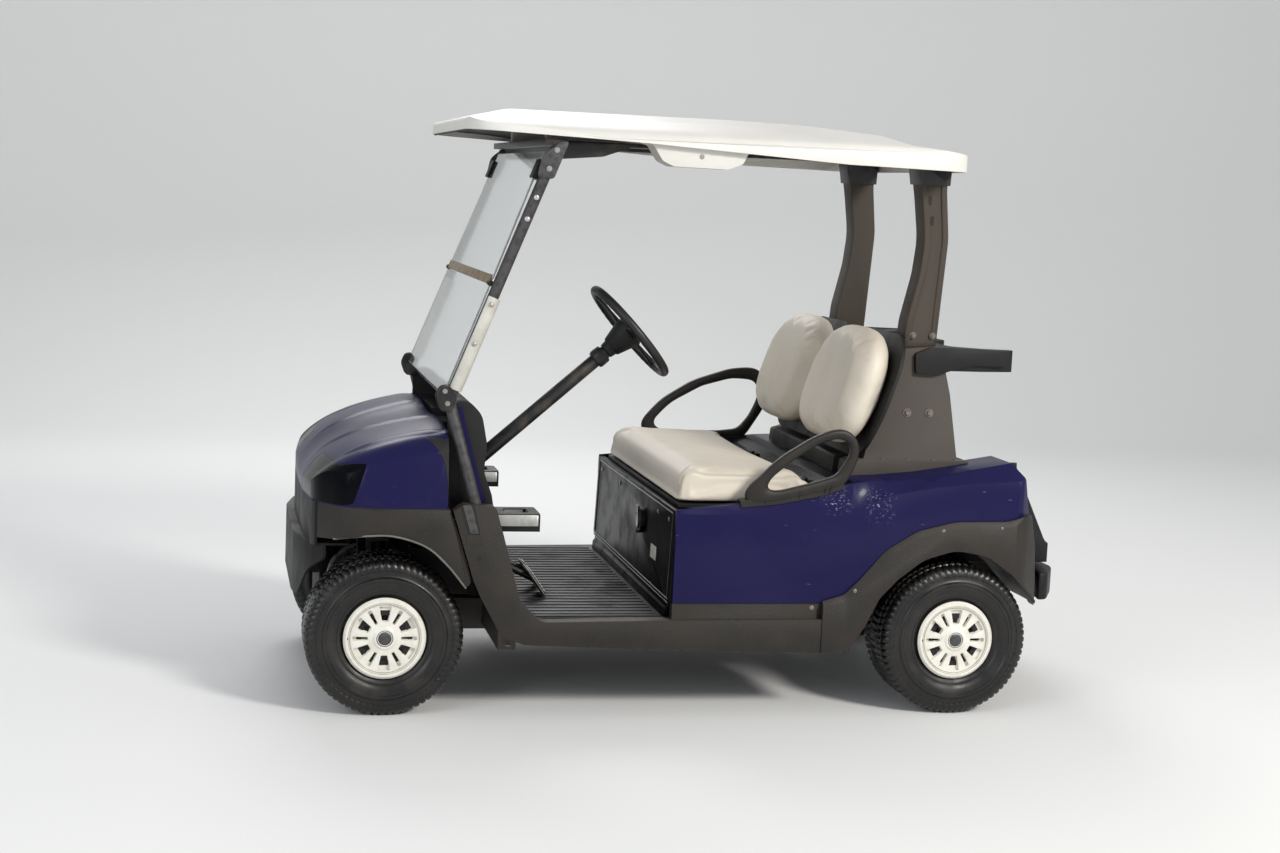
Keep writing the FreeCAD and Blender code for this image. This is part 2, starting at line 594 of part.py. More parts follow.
def floor_shape():
    """Flat pan with a toe board that rises behind the wheel wells."""
    outline = [
        (KICK_X - 40, FLOOR_TOP_Z, 0), (560, FLOOR_TOP_Z, 40), (600, 330, 40), (648, 470, 60), (652, DASH_LOW_Z - SEAT_GAP, 0),
        (666, DASH_LOW_Z - SEAT_GAP, 0), (662, 466, 60), (616, 322, 50), (578, FLOOR_TOP_Z - FLOOR_T, 30),
        (KICK_X - 40, FLOOR_TOP_Z - FLOOR_T, 0),
    ]
    return side_prism(outline, -ROCKER_IN_Y + SEAT_GAP, ROCKER_IN_Y - SEAT_GAP)


# Rocker and its front foot in side view: x, z, corner radius
ROCKER_OUTLINE = [
    (730, HOOD_SPLIT_Z, 0), (668, 400, 60), (646, 352, 60), (584, 240, 50), (520, 216, 60),
    (12, 197, 0), (ROCKER_END_X, 189, 0), (ROCKER_END_X, FLOOR_TOP_Z + 1, 0), (90, 286, 0), (478, 281, 50),
    (536, 344, 60), (590, 534, 100), (612, 606, 14), (700, 612, 14),
]


# Recessed band above the rocker, up to the body's lower edge
BAND_SET = 18.0
ROCKER_BAND = [(KICK_X, 280, 0), (KICK_X, BODY_LOW_Z - SEAT_GAP, 0), (ROCKER_END_X, BODY_LOW_Z - SEAT_GAP, 0),
               (ROCKER_END_X, 280, 0)]


def rocker_shape():
    body = side_prism(ROCKER_OUTLINE, ROCKER_IN_Y, ROCKER_OUT_Y)
    hollow = side_prism(grown(ROCKER_OUTLINE, -MOULD_T), ROCKER_IN_Y - 1, ROCKER_OUT_Y - MOULD_T)
    skin = body.cut(hollow)
    band = side_prism(ROCKER_BAND, ROCKER_IN_Y, ROCKER_OUT_Y - BAND_SET)
    band = band.cut(side_prism(grown(ROCKER_BAND, -MOULD_T), ROCKER_IN_Y - 1, ROCKER_OUT_Y - BAND_SET - MOULD_T))
    # The foot stands behind the front fender, and the strut drops into it.
    skin = skin.cut(side_prism(grown(FENDER_OUTLINE, SEAT_GAP), 400, 700))
    skin = skin.fuse(band).cut(strut_tube(STRUT_R + SEAT_GAP))
    return both_sides(skin.removeSplitter())


def kick_shape():
    """Front wall under the seat, with the ring of the charging socket."""
    outline = [(KICK_X, SEAT_LEDGE_Z, 0), (KICK_X - KICK_T, SEAT_LEDGE_Z, 0),
               (KICK_X - KICK_T + 14, FLOOR_TOP_Z + SEAT_GAP, 0), (KICK_X + 18, FLOOR_TOP_Z + SEAT_GAP, 0),
               (KICK_X + 16, FLOOR_TOP_Z + 24, 6), (KICK_X + 10, FLOOR_TOP_Z + 30, 6)]
    panel = side_prism(outline, -KICK_HALF_Y, KICK_HALF_Y)
    ring = rod(SOCKET_R + 12, V(KICK_X - 36, SOCKET_Y, SOCKET_Z), V(KICK_X + 14, SOCKET_Y, SOCKET_Z))
    hole = rod(SOCKET_R, V(KICK_X - 40, SOCKET_Y, SOCKET_Z), V(KICK_X + 20, SOCKET_Y, SOCKET_Z))
    corner = box(KICK_X - 60, KICK_X + 60, ROCKER_IN_Y - SEAT_GAP, 700, 200, BODY_LOW_Z)
    return panel.fuse(ring).cut([hole, corner, mirror_y(corner)]).removeSplitter()


# Rear body cross sections: x, foot y, waist y, crease y and z, deck edge y and z, deck middle height
REAR_SECTIONS = [
    (KICK_X, 583.0, 586.0, 583.0, 586.0, 576.0, 600.0, 600.0),
    (-80.0, 583.0, 586.0, 584.0, 588.0, 578.0, 616.0, 614.0),
    (-201.0, 583.0, 586.0, 584.0, 586.0, 578.0, 628.0, 622.0),
    (-331.0, 583.0, 586.0, 584.0, 580.0, 578.0, 652.0, 622.0),
    (-362.0, 583.0, 586.0, 584.0, 576.0, 577.0, 662.0, 614.0),
    (-400.0, 583.0, 586.0, 584.0, 574.0, 572.0, 675.0, 664.0),
    (-430.0, 583.0, 586.0, 583.0, 588.0, 560.0, 680.0, 684.0),
    (-480.0, 583.0, 586.0, 583.0, 620.0, 546.0, 684.0, 688.0),
    (-530.0, 583.0, 586.0, 582.0, 646.0, 540.0, 686.0, 691.0),
    (-660.0, 583.0, 586.0, 581.0, 672.0, 538.0, 698.0, 702.0),
    (-800.0, 583.0, 586.0, 580.0, 686.0, 536.0, 721.0, 722.0),
    (-930.0, 583.0, 585.0, 575.0, 692.0, 530.0, 743.0, 744.0),
    (-1060.0, 579.0, 580.0, 568.0, 692.0, 522.0, 744.0, 745.0),
]
WAIST_Z = 480.0
# Tail in side view: x, z, corner radius
REAR_TAIL = [(-803, 884, 0), (-963, 696, 30), (-989, 591, 100), (-1045, 305, 0), (-1066, 200, 0)]
# Rounded tail corners in plan: x, y, corner radius
REAR_PLAN = [(-700, 600, 0), (-934, 586, 100), (-1030, 490, 100), (-1050, 0, 0)]
# Rear wheel arch from the rear forward: x and z from the axle, corner radius
REAR_ARCH = [(-276, 85, 6), (-250, 100, 14), (-163, 195, 120), (-79, 252, 120), (21, 270, 120), (117, 242, 120),
             (192, 185, 100), (247, 128, 60), (284, 50, 60), (334, -30, 12)]
ARCH_LINER_IN_Y = 378.0


def rear_wire(row, inset):
    x, foot, waist, crease, crease_z, edge, edge_z, deck_z = row
    low = BODY_LOW_Z - (4 * inset if inset > 0 else -inset)
    half = [V(x, foot - inset, low), V(x, waist - inset, WAIST_Z), V(x, crease - inset, crease_z - inset * 0.3),
            V(x, edge - inset * 0.7, edge_z - inset), V(x, 0, deck_z - inset)]
    other = [V(p.x, -p.y, p.z) for p in reversed(half[:-1])]
    return Part.makePolygon(half + other + half[:1])


def rear_volume(inset):
    """The rear body's outer form, moved inward by an amount, or outward when it is negative."""
    body = Part.makeLoft([rear_wire(row, inset) for row in REAR_SECTIONS], True, True)
    tail = grown([(KICK_X, 200, 0), (KICK_X, 884, 0)] + REAR_TAIL, -inset)
    plan = grown([(KICK_X + 1, 0, 0), (KICK_X + 1, 620, 0)] + REAR_PLAN, -inset)[1:-1]
    plan = [(KICK_X + 1, 0, 0)] + plan + [(REAR_PLAN[-1][0] + inset, 0, 0)]
    return body.common(side_prism(tail, -700, 700)).common(plan_prism(mirrored(plan), 100, 900))


def rear_arch(gap):
    """The space over a rear wheel as a closed side outline, moved outward by a gap."""
    rows = [(REAR_AXLE_X + a, TYRE_R + b, r) for a, b, r in REAR_ARCH]
    return grown(rows + [(REAR_AXLE_X + 334, 100, 0), (REAR_AXLE_X - 276, 100, 0)], gap)


def rear_body_shape():
    """Thin body shell with a ledge for the seat board and the fixed half of its hinges."""
    shell = rear_volume(0).cut(rear_volume(PANEL_T))
    kick_half = KICK_HALF_Y + SEAT_GAP
    well_half = WELL_HALF_Y + SEAT_GAP
    rim = box(SEAT_OPEN_BACK_X - PANEL_T, KICK_X - KICK_T - 24, -SEAT_OPEN_HALF_Y - PANEL_T,
              SEAT_OPEN_HALF_Y + PANEL_T, SEAT_LEDGE_Z - 12, 800).common(rear_volume(1))
    sides = box(SEAT_OPEN_BACK_X - PANEL_T, KICK_X - KICK_T - 24, -HALF_WIDTH, HALF_WIDTH, SEAT_LEDGE_Z - 12,
                SEAT_LEDGE_Z).common(rear_volume(1))
    shell = shell.fuse([rim, sides])
    cuts = [
        box(KICK_X - 40, KICK_X + 40, -kick_half, kick_half, 200, 800),
        box(SEAT_OPEN_BACK_X, KICK_X + 1, -SEAT_OPEN_HALF_Y, SEAT_OPEN_HALF_Y, SEAT_LEDGE_Z, 800),
        box(SEAT_OPEN_BACK_X + 24, 40, -500, 500, SEAT_LEDGE_Z - 20, SEAT_LEDGE_Z + 1),
        box(-1200, WELL_FRONT_X, -well_half, well_half, 300, 900),
        side_prism(rear_arch(MOULD_T + SEAT_GAP), -700, 700),
    ]
    shell = shell.cut(cuts)
    hinges = []
    for y in (HINGE_Y, -HINGE_Y):
        inner = HINGE_MOVING_HALF_W + SEAT_GAP
        for y0, y1 in ((y - HINGE_HALF_W, y - inner), (y + inner, y + HINGE_HALF_W)):
            hinges.append(rod(HINGE_R, V(HINGE_X, y0, HINGE_Z), V(HINGE_X, y1, HINGE_Z)))
            hinges.append(box(HINGE_X - 24, HINGE_X, y0, y1, HINGE_Z - 15, HINGE_Z - 1))
        hinges.append(rod(HINGE_PIN_R, V(HINGE_X, y - HINGE_HALF_W, HINGE_Z), V(HINGE_X, y + HINGE_HALF_W, HINGE_Z)))
    return shell.fuse(hinges).removeSplitter()


# Rear fender flare over the arch: x, z, corner radius
FLARE_TOP = [(ROCKER_END_X - SEAT_GAP, 189, 0), (ROCKER_END_X - SEAT_GAP, 340, 0), (-410, 358, 40),
             (-458, 405, 60), (-530, 489, 120), (-624, 546, 120), (-740, 574, 160), (-900, 576, 100),
             (-985, 598, 14), (-1015, 500, 60)]


FLARE_T = 13.0
FLARE_BEVEL = 18.0
FLARE_BEVEL_Y = 589.0
# Outer form of the flare in plan, rounded at the tail: x, y, corner radius
FLARE_PLAN = [(0, 0, 0), (0, HALF_WIDTH, 0), (-946, HALF_WIDTH, 100), (-1046, 500, 100), (-1078, 0, 0)]


def side_wire(corners, y):
    return rounded_wire(corners, lambda p: V(p.x, y, p.y))


def rear_fender_shape():
    """Flare outside the body with a bevelled upper edge, and a liner inside it, with one arch through both."""
    arch = [(REAR_AXLE_X + a, TYRE_R + b, r) for a, b, r in REAR_ARCH]
    outline = arch + FLARE_TOP
    moved = grown(outline, -FLARE_BEVEL)
    face = arch + [FLARE_TOP[0], (FLARE_TOP[1][0], moved[len(arch) + 1][1], 0)]
    for k in range(2, len(FLARE_TOP)):
        x, z = moved[len(arch) + k][:2]
        face.append((x, z, FLARE_TOP[k][2]))
    body = side_prism(outline, ARCH_LINER_IN_Y + 90, FLARE_BEVEL_Y)
    bevel = Part.makeLoft([side_wire(outline, FLARE_BEVEL_Y), side_wire(face, HALF_WIDTH)], True, True)
    inner = grown(FLARE_PLAN, -FLARE_T)
    flare = body.fuse(bevel).common(plan_prism(FLARE_PLAN, 100, 700)).cut(plan_prism(inner, 100, 700))
    liner = side_prism(rear_arch(MOULD_T), ARCH_LINER_IN_Y, FLARE_BEVEL_Y)
    liner = liner.cut(side_prism(rear_arch(0), ARCH_LINER_IN_Y - 1, HALF_WIDTH))
    liner = liner.common(box(REAR_AXLE_X - 240, REAR_AXLE_X + 330, 0, 700, 196, 600))
    return flare.fuse(liner).removeSplitter()


def rear_fenders_shape():
    return both_sides(rear_fender_shape())


def bag_well_shape():
    """Open tray with two round rests for the bags."""
    outer = box(-1128, WELL_FRONT_X, -WELL_HALF_Y, WELL_HALF_Y, WELL_FLOOR_Z - WELL_FLOOR_T, 722)
    inner = box(-1122, WELL_FRONT_X - MOULD_T, -WELL_HALF_Y + MOULD_T, WELL_HALF_Y - MOULD_T, WELL_FLOOR_Z, 800)
    slope = side_prism([(-1300, 470, 0), (-1122, 470, 40), (-1010, 706, 20), (-1000, 900, 0), (-1300, 900, 0)],
                       -700, 700)
    tray = outer.cut([inner, slope])
    for y in (WELL_RING_Y, -WELL_RING_Y):
        ring = rod(WELL_RING_R, V(WELL_RING_X, y, WELL_FLOOR_Z), V(WELL_RING_X, y, WELL_FLOOR_Z + 12))
        hole = rod(WELL_RING_R - 12, V(WELL_RING_X, y, WELL_FLOOR_Z - 1), V(WELL_RING_X, y, WELL_FLOOR_Z + 20))
        tray = tray.fuse(ring.cut(hole))
    return tray.removeSplitter()


def rear_bumper_shape():
    plan = [(TAIL_X, 0, 0), (TAIL_X, 360, 60), (-1090, 470, 40), (-1060, 470, 0), (-1084 - SEAT_GAP, 340, 0),
            (-1084 - SEAT_GAP, 0, 0)]
    return plan_prism(mirrored(plan), 318, 402)


def battery_shape():
    return box(-320, 44, -430, 430, RAIL_TOP_Z + SEAT_GAP, 540)


def seat_board_shape():
    """Board under the cushion with the moving leaves and barrels of the hinges."""
    low = SEAT_LEDGE_Z + SEAT_GAP
    board = box(CUSHION_BACK_X - 8, CUSHION_FRONT_X - 12, -CUSHION_HALF_Y + 8, CUSHION_HALF_Y - 8, low,
                SEAT_LEDGE_Z + BOARD_T)
    leaves = []
    for y in (HINGE_Y, -HINGE_Y):
        low_y, high_y = y - HINGE_MOVING_HALF_W, y + HINGE_MOVING_HALF_W
        barrel = rod(HINGE_R, V(HINGE_X, low_y, HINGE_Z), V(HINGE_X, high_y, HINGE_Z))
        leaf = box(HINGE_X + 1, HINGE_X + HINGE_R, low_y, high_y, low, HINGE_Z)
        foot = box(HINGE_X + 1, CUSHION_BACK_X, low_y, high_y, low, SEAT_LEDGE_Z + BOARD_T)
        leaves.append(joined([barrel, leaf, foot]).cut(
            rod(HINGE_PIN_R + RUN_FIT, V(HINGE_X, low_y - 1, HINGE_Z), V(HINGE_X, high_y + 1, HINGE_Z))))
    return joined([board] + leaves)


def cushion_shape():
    low = SEAT_LEDGE_Z + BOARD_T + SEAT_GAP
    profile = [(CUSHION_FRONT_X, low, 8), (CUSHION_FRONT_X + 4, CUSHION_TOP_Z, 40),
               (CUSHION_BACK_X + 60, CUSHION_TOP_Z - 14, 60), (CUSHION_BACK_X, CUSHION_TOP_Z - 34, 30),
               (CUSHION_BACK_X, low, 8)]
    body = side_prism(profile, -CUSHION_HALF_Y, CUSHION_HALF_Y)
    front, back = CUSHION_FRONT_X + 10, CUSHION_BACK_X - 5
    plan = mirrored([(front, 0, 0), (front, CUSHION_HALF_Y, 60), (back, CUSHION_HALF_Y, 40), (back, 0, 0)])
    return body.common(plan_prism(plan, low - 10, CUSHION_TOP_Z + 10))


def lean(shape):
    """Turn a piece drawn upright about the foot of the seat back to its lean."""
    turned = shape.copy()
    turned.rotate(BACK_FOOT, V(0, 1, 0), -BACK_ANGLE)
    return turned


BACK_HEIGHT = (BACK_HIGH_Z - BACK_LOW_Z) / math.cos(math.radians(BACK_ANGLE))
# Back pad seen from the front before it leans: y, z above its low edge, corner radius
PAD_OUTLINE = [(BACK_GAP_Y + 16, 0, 90), (BACK_GAP_Y, BACK_HEIGHT * 0.4, 300), (BACK_GAP_Y + 6, BACK_HEIGHT, 150),
               (BACK_HALF_Y - 20, BACK_HEIGHT, 190), (BACK_HALF_Y, BACK_HEIGHT * 0.35, 300), (BACK_HALF_Y - 60, 0, 110)]


def pad_face(gap):
    return [(y, BACK_LOW_Z + z, r) for y, z, r in grown(PAD_OUTLINE, gap)]


def back_pad_shape(side):
    """Rounded pad that leans back, its outer side coming forward towards the top."""
    front = BACK_FOOT.x
    rear = front - BACK_PAD_T
    wires = []
    for z, bulge in ((BACK_LOW_Z, 0.0), (BACK_LOW_Z + BACK_HEIGHT, WING_BULGE)):
        corners = [V(front, 0, z), V(front, WING_Y, z), V(front + bulge, BACK_HALF_Y, z), V(rear, BACK_HALF_Y, z),
                   V(rear, 0, z)]
        wires.append(Part.makePolygon(corners + corners[:1]))
    block = Part.makeLoft(wires, True, True)
    pad = lean(block.common(front_prism(pad_face(0), rear - 1, front + WING_BULGE + 1)))
    return pad if side > 0 else mirror_y(pad)


SUPPORT_HALF_Y = 327.0
STEM_HALF_Y = 240.0
# Support under the pads in side view: x, z, corner radius
SUPPORT_OUTLINE = [(-436, 650, 0), (-441, 733, 12), (-497, 740, 10), (-497, 650, 0)]


def back_shell_shape():
    """Thin moulded backs behind the pads, two cross bars to the towers and a support on the deck."""
    x1 = BACK_FOOT.x - BACK_PAD_T - SEAT_GAP
    plate = front_prism(pad_face(6), x1 - SHELL_T, x1)
    pieces = [plate, mirror_y(plate)]
    # Cross bars and stem: low and high above the pads' foot, depth behind the plates, half length
    for low, high, depth, half in [(60, 110, 40, 330), (230, 270, 40, 330), (-70, 60, SHELL_T, STEM_HALF_Y)]:
        pieces.append(box(x1 - depth, x1 - 1, -half, half, BACK_LOW_Z + low, BACK_LOW_Z + high))
    whole = [lean(piece) for piece in pieces]
    whole.append(side_prism(SUPPORT_OUTLINE, -SUPPORT_HALF_Y, SUPPORT_HALF_Y))
    tower = side_prism(grown(TOWER_OUTLINE, SEAT_GAP), TOWER_IN_Y - SEAT_GAP, TOWER_OUT_Y + SEAT_GAP)
    flange = side_prism(grown(FLANGE_OUTLINE, SEAT_GAP), TOWER_IN_Y - FLANGE_IN, TOWER_OUT_Y + FLANGE_OUT)
    return joined(whole).cut([tower, mirror_y(tower), flange, mirror_y(flange), rear_volume(-SEAT_GAP)])


# Armrest loops in side view: x, z, corner radius. The two sides are bent differently.
ARMREST_LEFT = [(-70, 635, 6), (-80, 618, 8), (-201, 628, 60), (-331, 655, 60), (-400, 677, 20), (-435, 754, 60),
                (-435, 800, 30), (-405, 836, 14), (-360, 839, 30), (-295, 815, 100), (-194, 750, 100), (-96, 648, 30)]
ARMREST_LEFT_HOLE = [(-151, 669, 8), (-169, 653, 10), (-303, 684, 60), (-372, 706, 24), (-410, 766, 30),
                     (-408, 798, 18), (-374, 812, 18), (-322, 799, 60), (-246, 751, 80)]
ARMREST_RIGHT = [(-21, 691, 10), (-60, 672, 16), (-200, 660, 100), (-403, 663, 30), (-480, 786, 60), (-470, 880, 30),
                 (-440, 909, 16), (-349, 904, 60), (-217, 861, 120), (-108, 793, 100)]
ARMREST_RIGHT_HOLE = [(-61, 692, 8), (-200, 690, 60), (-308, 689, 60), (-381, 698, 20), (-420, 744, 40),
                      (-450, 812, 30), (-440, 864, 14), (-351, 869, 40), (-249, 841, 100), (-139, 779, 80)]
ARMREST_IN_Y = 560.0
ARMREST_OUT_Y = 587.0
# Foot from the loop's lower run down to the body's shoulder: x, z, corner radius
FOOT_LEFT = [(-100, 612, 0), (-100, 634, 0), (-385, 686, 0), (-385, 664, 0)]
FOOT_RIGHT = [(-100, 612, 0), (-100, 670, 0), (-385, 674, 0), (-385, 664, 0)]


def armrest_shape(loop, hole, foot):
    """Flat loop with a foot that sits on the body's shoulder, drawn on the left."""
    ring = side_prism(loop, ARMREST_IN_Y, ARMREST_OUT_Y).cut(
        side_prism(hole, ARMREST_IN_Y - 1, ARMREST_OUT_Y + 1))
    base = side_prism(foot, ARMREST_IN_Y - 12, ARMREST_OUT_Y)
    return joined([ring, base]).cut(rear_volume(-SEAT_GAP))


def armrests_shape():
    return Part.makeCompound([armrest_shape(ARMREST_LEFT, ARMREST_LEFT_HOLE, FOOT_LEFT),
                              mirror_y(armrest_shape(ARMREST_RIGHT, ARMREST_RIGHT_HOLE, FOOT_RIGHT))])


# Tower in side view: x, z, corner radius
TOWER_OUTLINE = [
    (-500, TOWER_LOW_Z, 0), (-500, 716, 20), (-512, 772, 30), (-568, 878, 60), (-600, 1000, 60), (-606, 1060, 10), (-726, 1070, 10),
    (-738, 1020, 60), (-762, 930, 100), (-799, 716, 20), (-799, TOWER_LOW_Z, 0),
]
# Post in side view: x, z, corner radius
POST_OUTLINE = [
    (-622, 1060, 0), (-629, 1143, 120), (-660, 1280, 300), (-671, 1383, 300), (-656, 1500, 300),
    (-638, 1612, 0), (-734, 1606, 0), (-730, 1533, 200), (-744, 1385, 300), (-734, 1236, 300), (-724, 1070, 0),
]


# Flange round the tower's foot in side view: x, z, corner radius
FLANGE_OUTLINE = [(-452, TOWER_LOW_Z, 0), (-458, 721, 10), (-498, 733, 14), (WELL_FRONT_X + SEAT_GAP, 733, 6),
                  (WELL_FRONT_X + SEAT_GAP, TOWER_LOW_Z, 0)]
TOWER_T = 8.0
FLANGE_IN = 10.0
FLANGE_OUT = 12.0


def post_panel_shape():
    """Hollow towers with a foot flange, standing on the deck."""
    body = side_prism(TOWER_OUTLINE, TOWER_IN_Y, TOWER_OUT_Y)
    flange = side_prism(FLANGE_OUTLINE, TOWER_IN_Y - FLANGE_IN, TOWER_OUT_Y + FLANGE_OUT)
    hollow = side_prism(grown(TOWER_OUTLINE, -TOWER_T), TOWER_IN_Y + TOWER_T, TOWER_OUT_Y - TOWER_T)
    foot = box(TOWER_OUTLINE[-1][0] + TOWER_T, TOWER_OUTLINE[0][0] - TOWER_T, TOWER_IN_Y + TOWER_T,
               TOWER_OUT_Y - TOWER_T, TOWER_LOW_Z - 1, TOWER_LOW_Z + 20)
    return both_sides(joined([body, flange]).cut([hollow, foot, rear_volume(-SEAT_GAP)]))


def rear_post_shape():
    post = side_prism(POST_OUTLINE, POST_Y - POST_W / 2, POST_Y + POST_W / 2)
    post = post.cut(side_prism(grown(TOWER_OUTLINE, SEAT_GAP), 0, 600))
    groove = side_prism(grown(POST_OUTLINE, -18), POST_Y + POST_W / 2 - 5, POST_Y + POST_W / 2 + 1)
    return both_sides(post.cut(groove))


# Rack seen from above, right half mirrored: x, y, corner radius
RACK_PLAN = [(-742, 0, 0), (-742, TOWER_OUT_Y + 6, 0), (-850, TOWER_OUT_Y + 6, 20), (-962, TOWER_OUT_Y - 14, 20),
             (-962, TOWER_OUT_Y - 44, 10), (-880, TOWER_OUT_Y - 64, 30), (-800, 290, 60), (-800, 110, 60),
             (-880, 40, 20), (-880, 0, 0)]
RACK_LOW_Z = 1000.0
RACK_HIGH_Z = 1064.0
# Arm along the tower's outer side: x, z, corner radius
RACK_ARM = [(-642, 1050, 8), (-646, 989, 10), (-706, 986, 40), (-769, 1005, 60), (-823, 1018, 40), (-932, 1018, 8),
            (-932, 1066, 8), (-691, 1070, 60)]
RACK_ARM_T = 14.0


def bag_rack_shape():
    """Moulded cross rack behind the posts with two rounded bag rests and an arm along each tower."""
    rack = plan_prism(mirrored(RACK_PLAN), RACK_LOW_Z, RACK_HIGH_Z)
    arm = side_prism(RACK_ARM, TOWER_OUT_Y + SEAT_GAP, TOWER_OUT_Y + RACK_ARM_T)
    return joined([rack, arm, mirror_y(arm)]).cut(side_prism(grown(TOWER_OUTLINE, SEAT_GAP), -TOWER_OUT_Y - 0.1,
                                                             TOWER_OUT_Y + 0.1))


def roof_volume(inset):
    top = ROOF_Z - inset
    side = [
        (ROOF_FRONT_X - inset, 1640, 0), (ROOF_FRONT_X - inset, ROOF_Z - 42 - inset, 20),
        (560, ROOF_Z - 6 - inset, 300), (200, top, 900), (-300, ROOF_Z - 16 - inset, 500),
        (-500, ROOF_Z - 36 - inset, 60), (-560, ROOF_Z - 62 - inset, 60), (ROOF_REAR_X + inset, ROOF_Z - 84 - inset, 20),
        (ROOF_REAR_X + inset, 1584, 0), (-365, 1590, 0), (216, 1622, 300),
    ]
    if inset > 0:
        side[0] = (ROOF_FRONT_X - inset, 1500, 0)
        side[-3] = (ROOF_REAR_X + inset, 1500, 0)
        side = side[:-2]
    body = side_prism(side, -700, 700)
    y = ROOF_HALF_Y - inset
    plan = plan_prism([(ROOF_FRONT_X - inset, -y + 60, 120), (ROOF_FRONT_X - inset, y - 60, 120),
                       (300, y, 300), (-500, y, 300), (ROOF_REAR_X + inset, y - 30, 90),
                       (ROOF_REAR_X + inset, -y + 30, 90), (-500, -y, 300), (300, -y, 300)], 1400, 1800)
    drop = ROOF_DROP
    front = front_prism([(-y - 5, 1400, 0), (y + 5, 1400, 0), (y, top - drop, 60), (300, top - 8, 500),
                         (-300, top - 8, 500), (-y, top - drop, 60)], -900, 900)
    return body.common(plan).common(front)


# Grab handle under the canopy's edge on the left and on the right: x, z, corner radius
HANDLE_LEFT = [(225, ROOF_Z, 0), (225, 1626, 10), (199, 1618, 10), (171, 1576, 20), (139, 1562, 16), (-18, 1560, 30),
               (-60, 1577, 20), (-84, 1626, 20), (-84, ROOF_Z, 0)]
HANDLE_RIGHT = [(-250, ROOF_Z, 0), (-250, 1626, 10), (-264, 1612, 10), (-337, 1596, 30), (-604, 1586, 30),
                (-666, 1618, 10), (-672, ROOF_Z, 0)]
HANDLE_IN_Y = 446.0
HANDLE_OUT_Y = 536.0
HANDLE_T = 5.0


def handle_shape(outline):
    """Moulded grab rail on the left: a hollow pod that hangs from the canopy."""
    pod = side_prism(outline, HANDLE_IN_Y, HANDLE_OUT_Y)
    hollow = side_prism(grown(outline, -HANDLE_T), HANDLE_IN_Y + HANDLE_T, HANDLE_OUT_Y - HANDLE_T)
    return pod.cut(hollow).common(roof_volume(1).fuse(box(-900, 900, 0, 600, 1500, 1620)))


def roof_shape():
    """Moulded canopy with two ribs that rest on the long bars, and a grab rail at each side."""
    shell = roof_volume(0).cut(roof_volume(ROOF_T))
    top = BAR_LOW_Z + BAR_T + SEAT_GAP
    ribs = [box(-690, 470, y - 12, y + 12, top, ROOF_Z + 20).common(roof_volume(1)) for y in (-BAR_Y, BAR_Y)]
    return shell.fuse(ribs + [handle_shape(HANDLE_LEFT), mirror_y(handle_shape(HANDLE_RIGHT))]).removeSplitter()


# Shallow pan behind the windshield's top: x, z, corner radius
PAN_OUTLINE = [(476, 1617, 0), (455, 1568, 10), (330, 1580, 60), (230, 1617, 0)]
PAN_HALF_Y = 482.0
PAN_T = 4.0
COLLAR_LOW_Z = 1545.0
COLLAR_T = 6.0


def roof_bracket_shape():
    """Bars under the canopy that join the struts and the posts, with the pan, collars and handles."""
    slope = (STRUT_KNEE.x - STRUT_TOP.x) / (STRUT_KNEE - STRUT_TOP).Length
    strut_end = STRUT_TOP.z + STRUT_R * slope + SEAT_GAP
    high = BAR_LOW_Z + BAR_T
    pieces = [box(436, 500, -STRUT_TOP.y - 10, STRUT_TOP.y + 10, strut_end, high),
              box(-715, -655, -370, 370, BAR_LOW_Z, high)]
    for y in (-BAR_Y, BAR_Y):
        pieces.append(box(-715, 500, y - 20, y + 20, BAR_LOW_Z, high))
    pan = side_prism(PAN_OUTLINE, -PAN_HALF_Y, PAN_HALF_Y)
    raised = pan.copy()
    raised.translate(V(0, 0, PAN_T))
    end = side_prism(PAN_OUTLINE, PAN_HALF_Y - PAN_T, PAN_HALF_Y)
    pieces += [pan.cut(raised), end, mirror_y(end)]
    half = POST_W / 2
    collar = side_prism(grown(POST_OUTLINE, COLLAR_T), POST_Y - half - COLLAR_T, POST_Y + half + COLLAR_T)
    collar = collar.common(box(-900, -500, 0, 600, COLLAR_LOW_Z, BAR_LOW_Z + 2))
    post = side_prism(grown(POST_OUTLINE, SEAT_GAP), POST_Y - half - SEAT_GAP, POST_Y + half + SEAT_GAP)
    collar = collar.cut(post.common(box(-900, -500, 0, 600, 1000, BAR_LOW_Z)))
    return joined(pieces + [collar, mirror_y(collar)])


def strut_tube(radius):
    return bent_tube([STRUT_TOP, STRUT_KNEE, STRUT_FOOT], radius, [STRUT_BEND])


def front_strut_shape():
    """Bent struts with a flat bracket at the top of each."""
    bracket = side_prism([(458, 1616, 6), (434, 1616, 6), (474, 1512, 12), (521, 1515, 12), (508, 1576, 40)],
                         STRUT_TOP.y + STRUT_R - 3, STRUT_TOP.y + STRUT_R + 4)
    return both_sides(joined([strut_tube(STRUT_R), bracket]))


def strut_run():
    """Unit vector down the strut's upper run and the one that points forward from it."""
    run = V(STRUT_KNEE.x - STRUT_TOP.x, 0, STRUT_KNEE.z - STRUT_TOP.z)
    run.normalize()
    return run, V(-run.z, 0, run.x)


def along_strut(low_z, high_z, behind, ahead):
    """Side outline of a strip along the strut's upper run, between two heights."""
    run, normal = strut_run()
    top = V(STRUT_TOP.x, 0, STRUT_TOP.z)
    first = top + run * ((low_z - top.z) / run.z)
    last = top + run * ((high_z - top.z) / run.z)
    corners = [first + normal * behind, first + normal * ahead, last + normal * ahead, last + normal * behind]
    return [(p.x, p.z, 0) for p in corners]


SLEEVE_R = 23.0


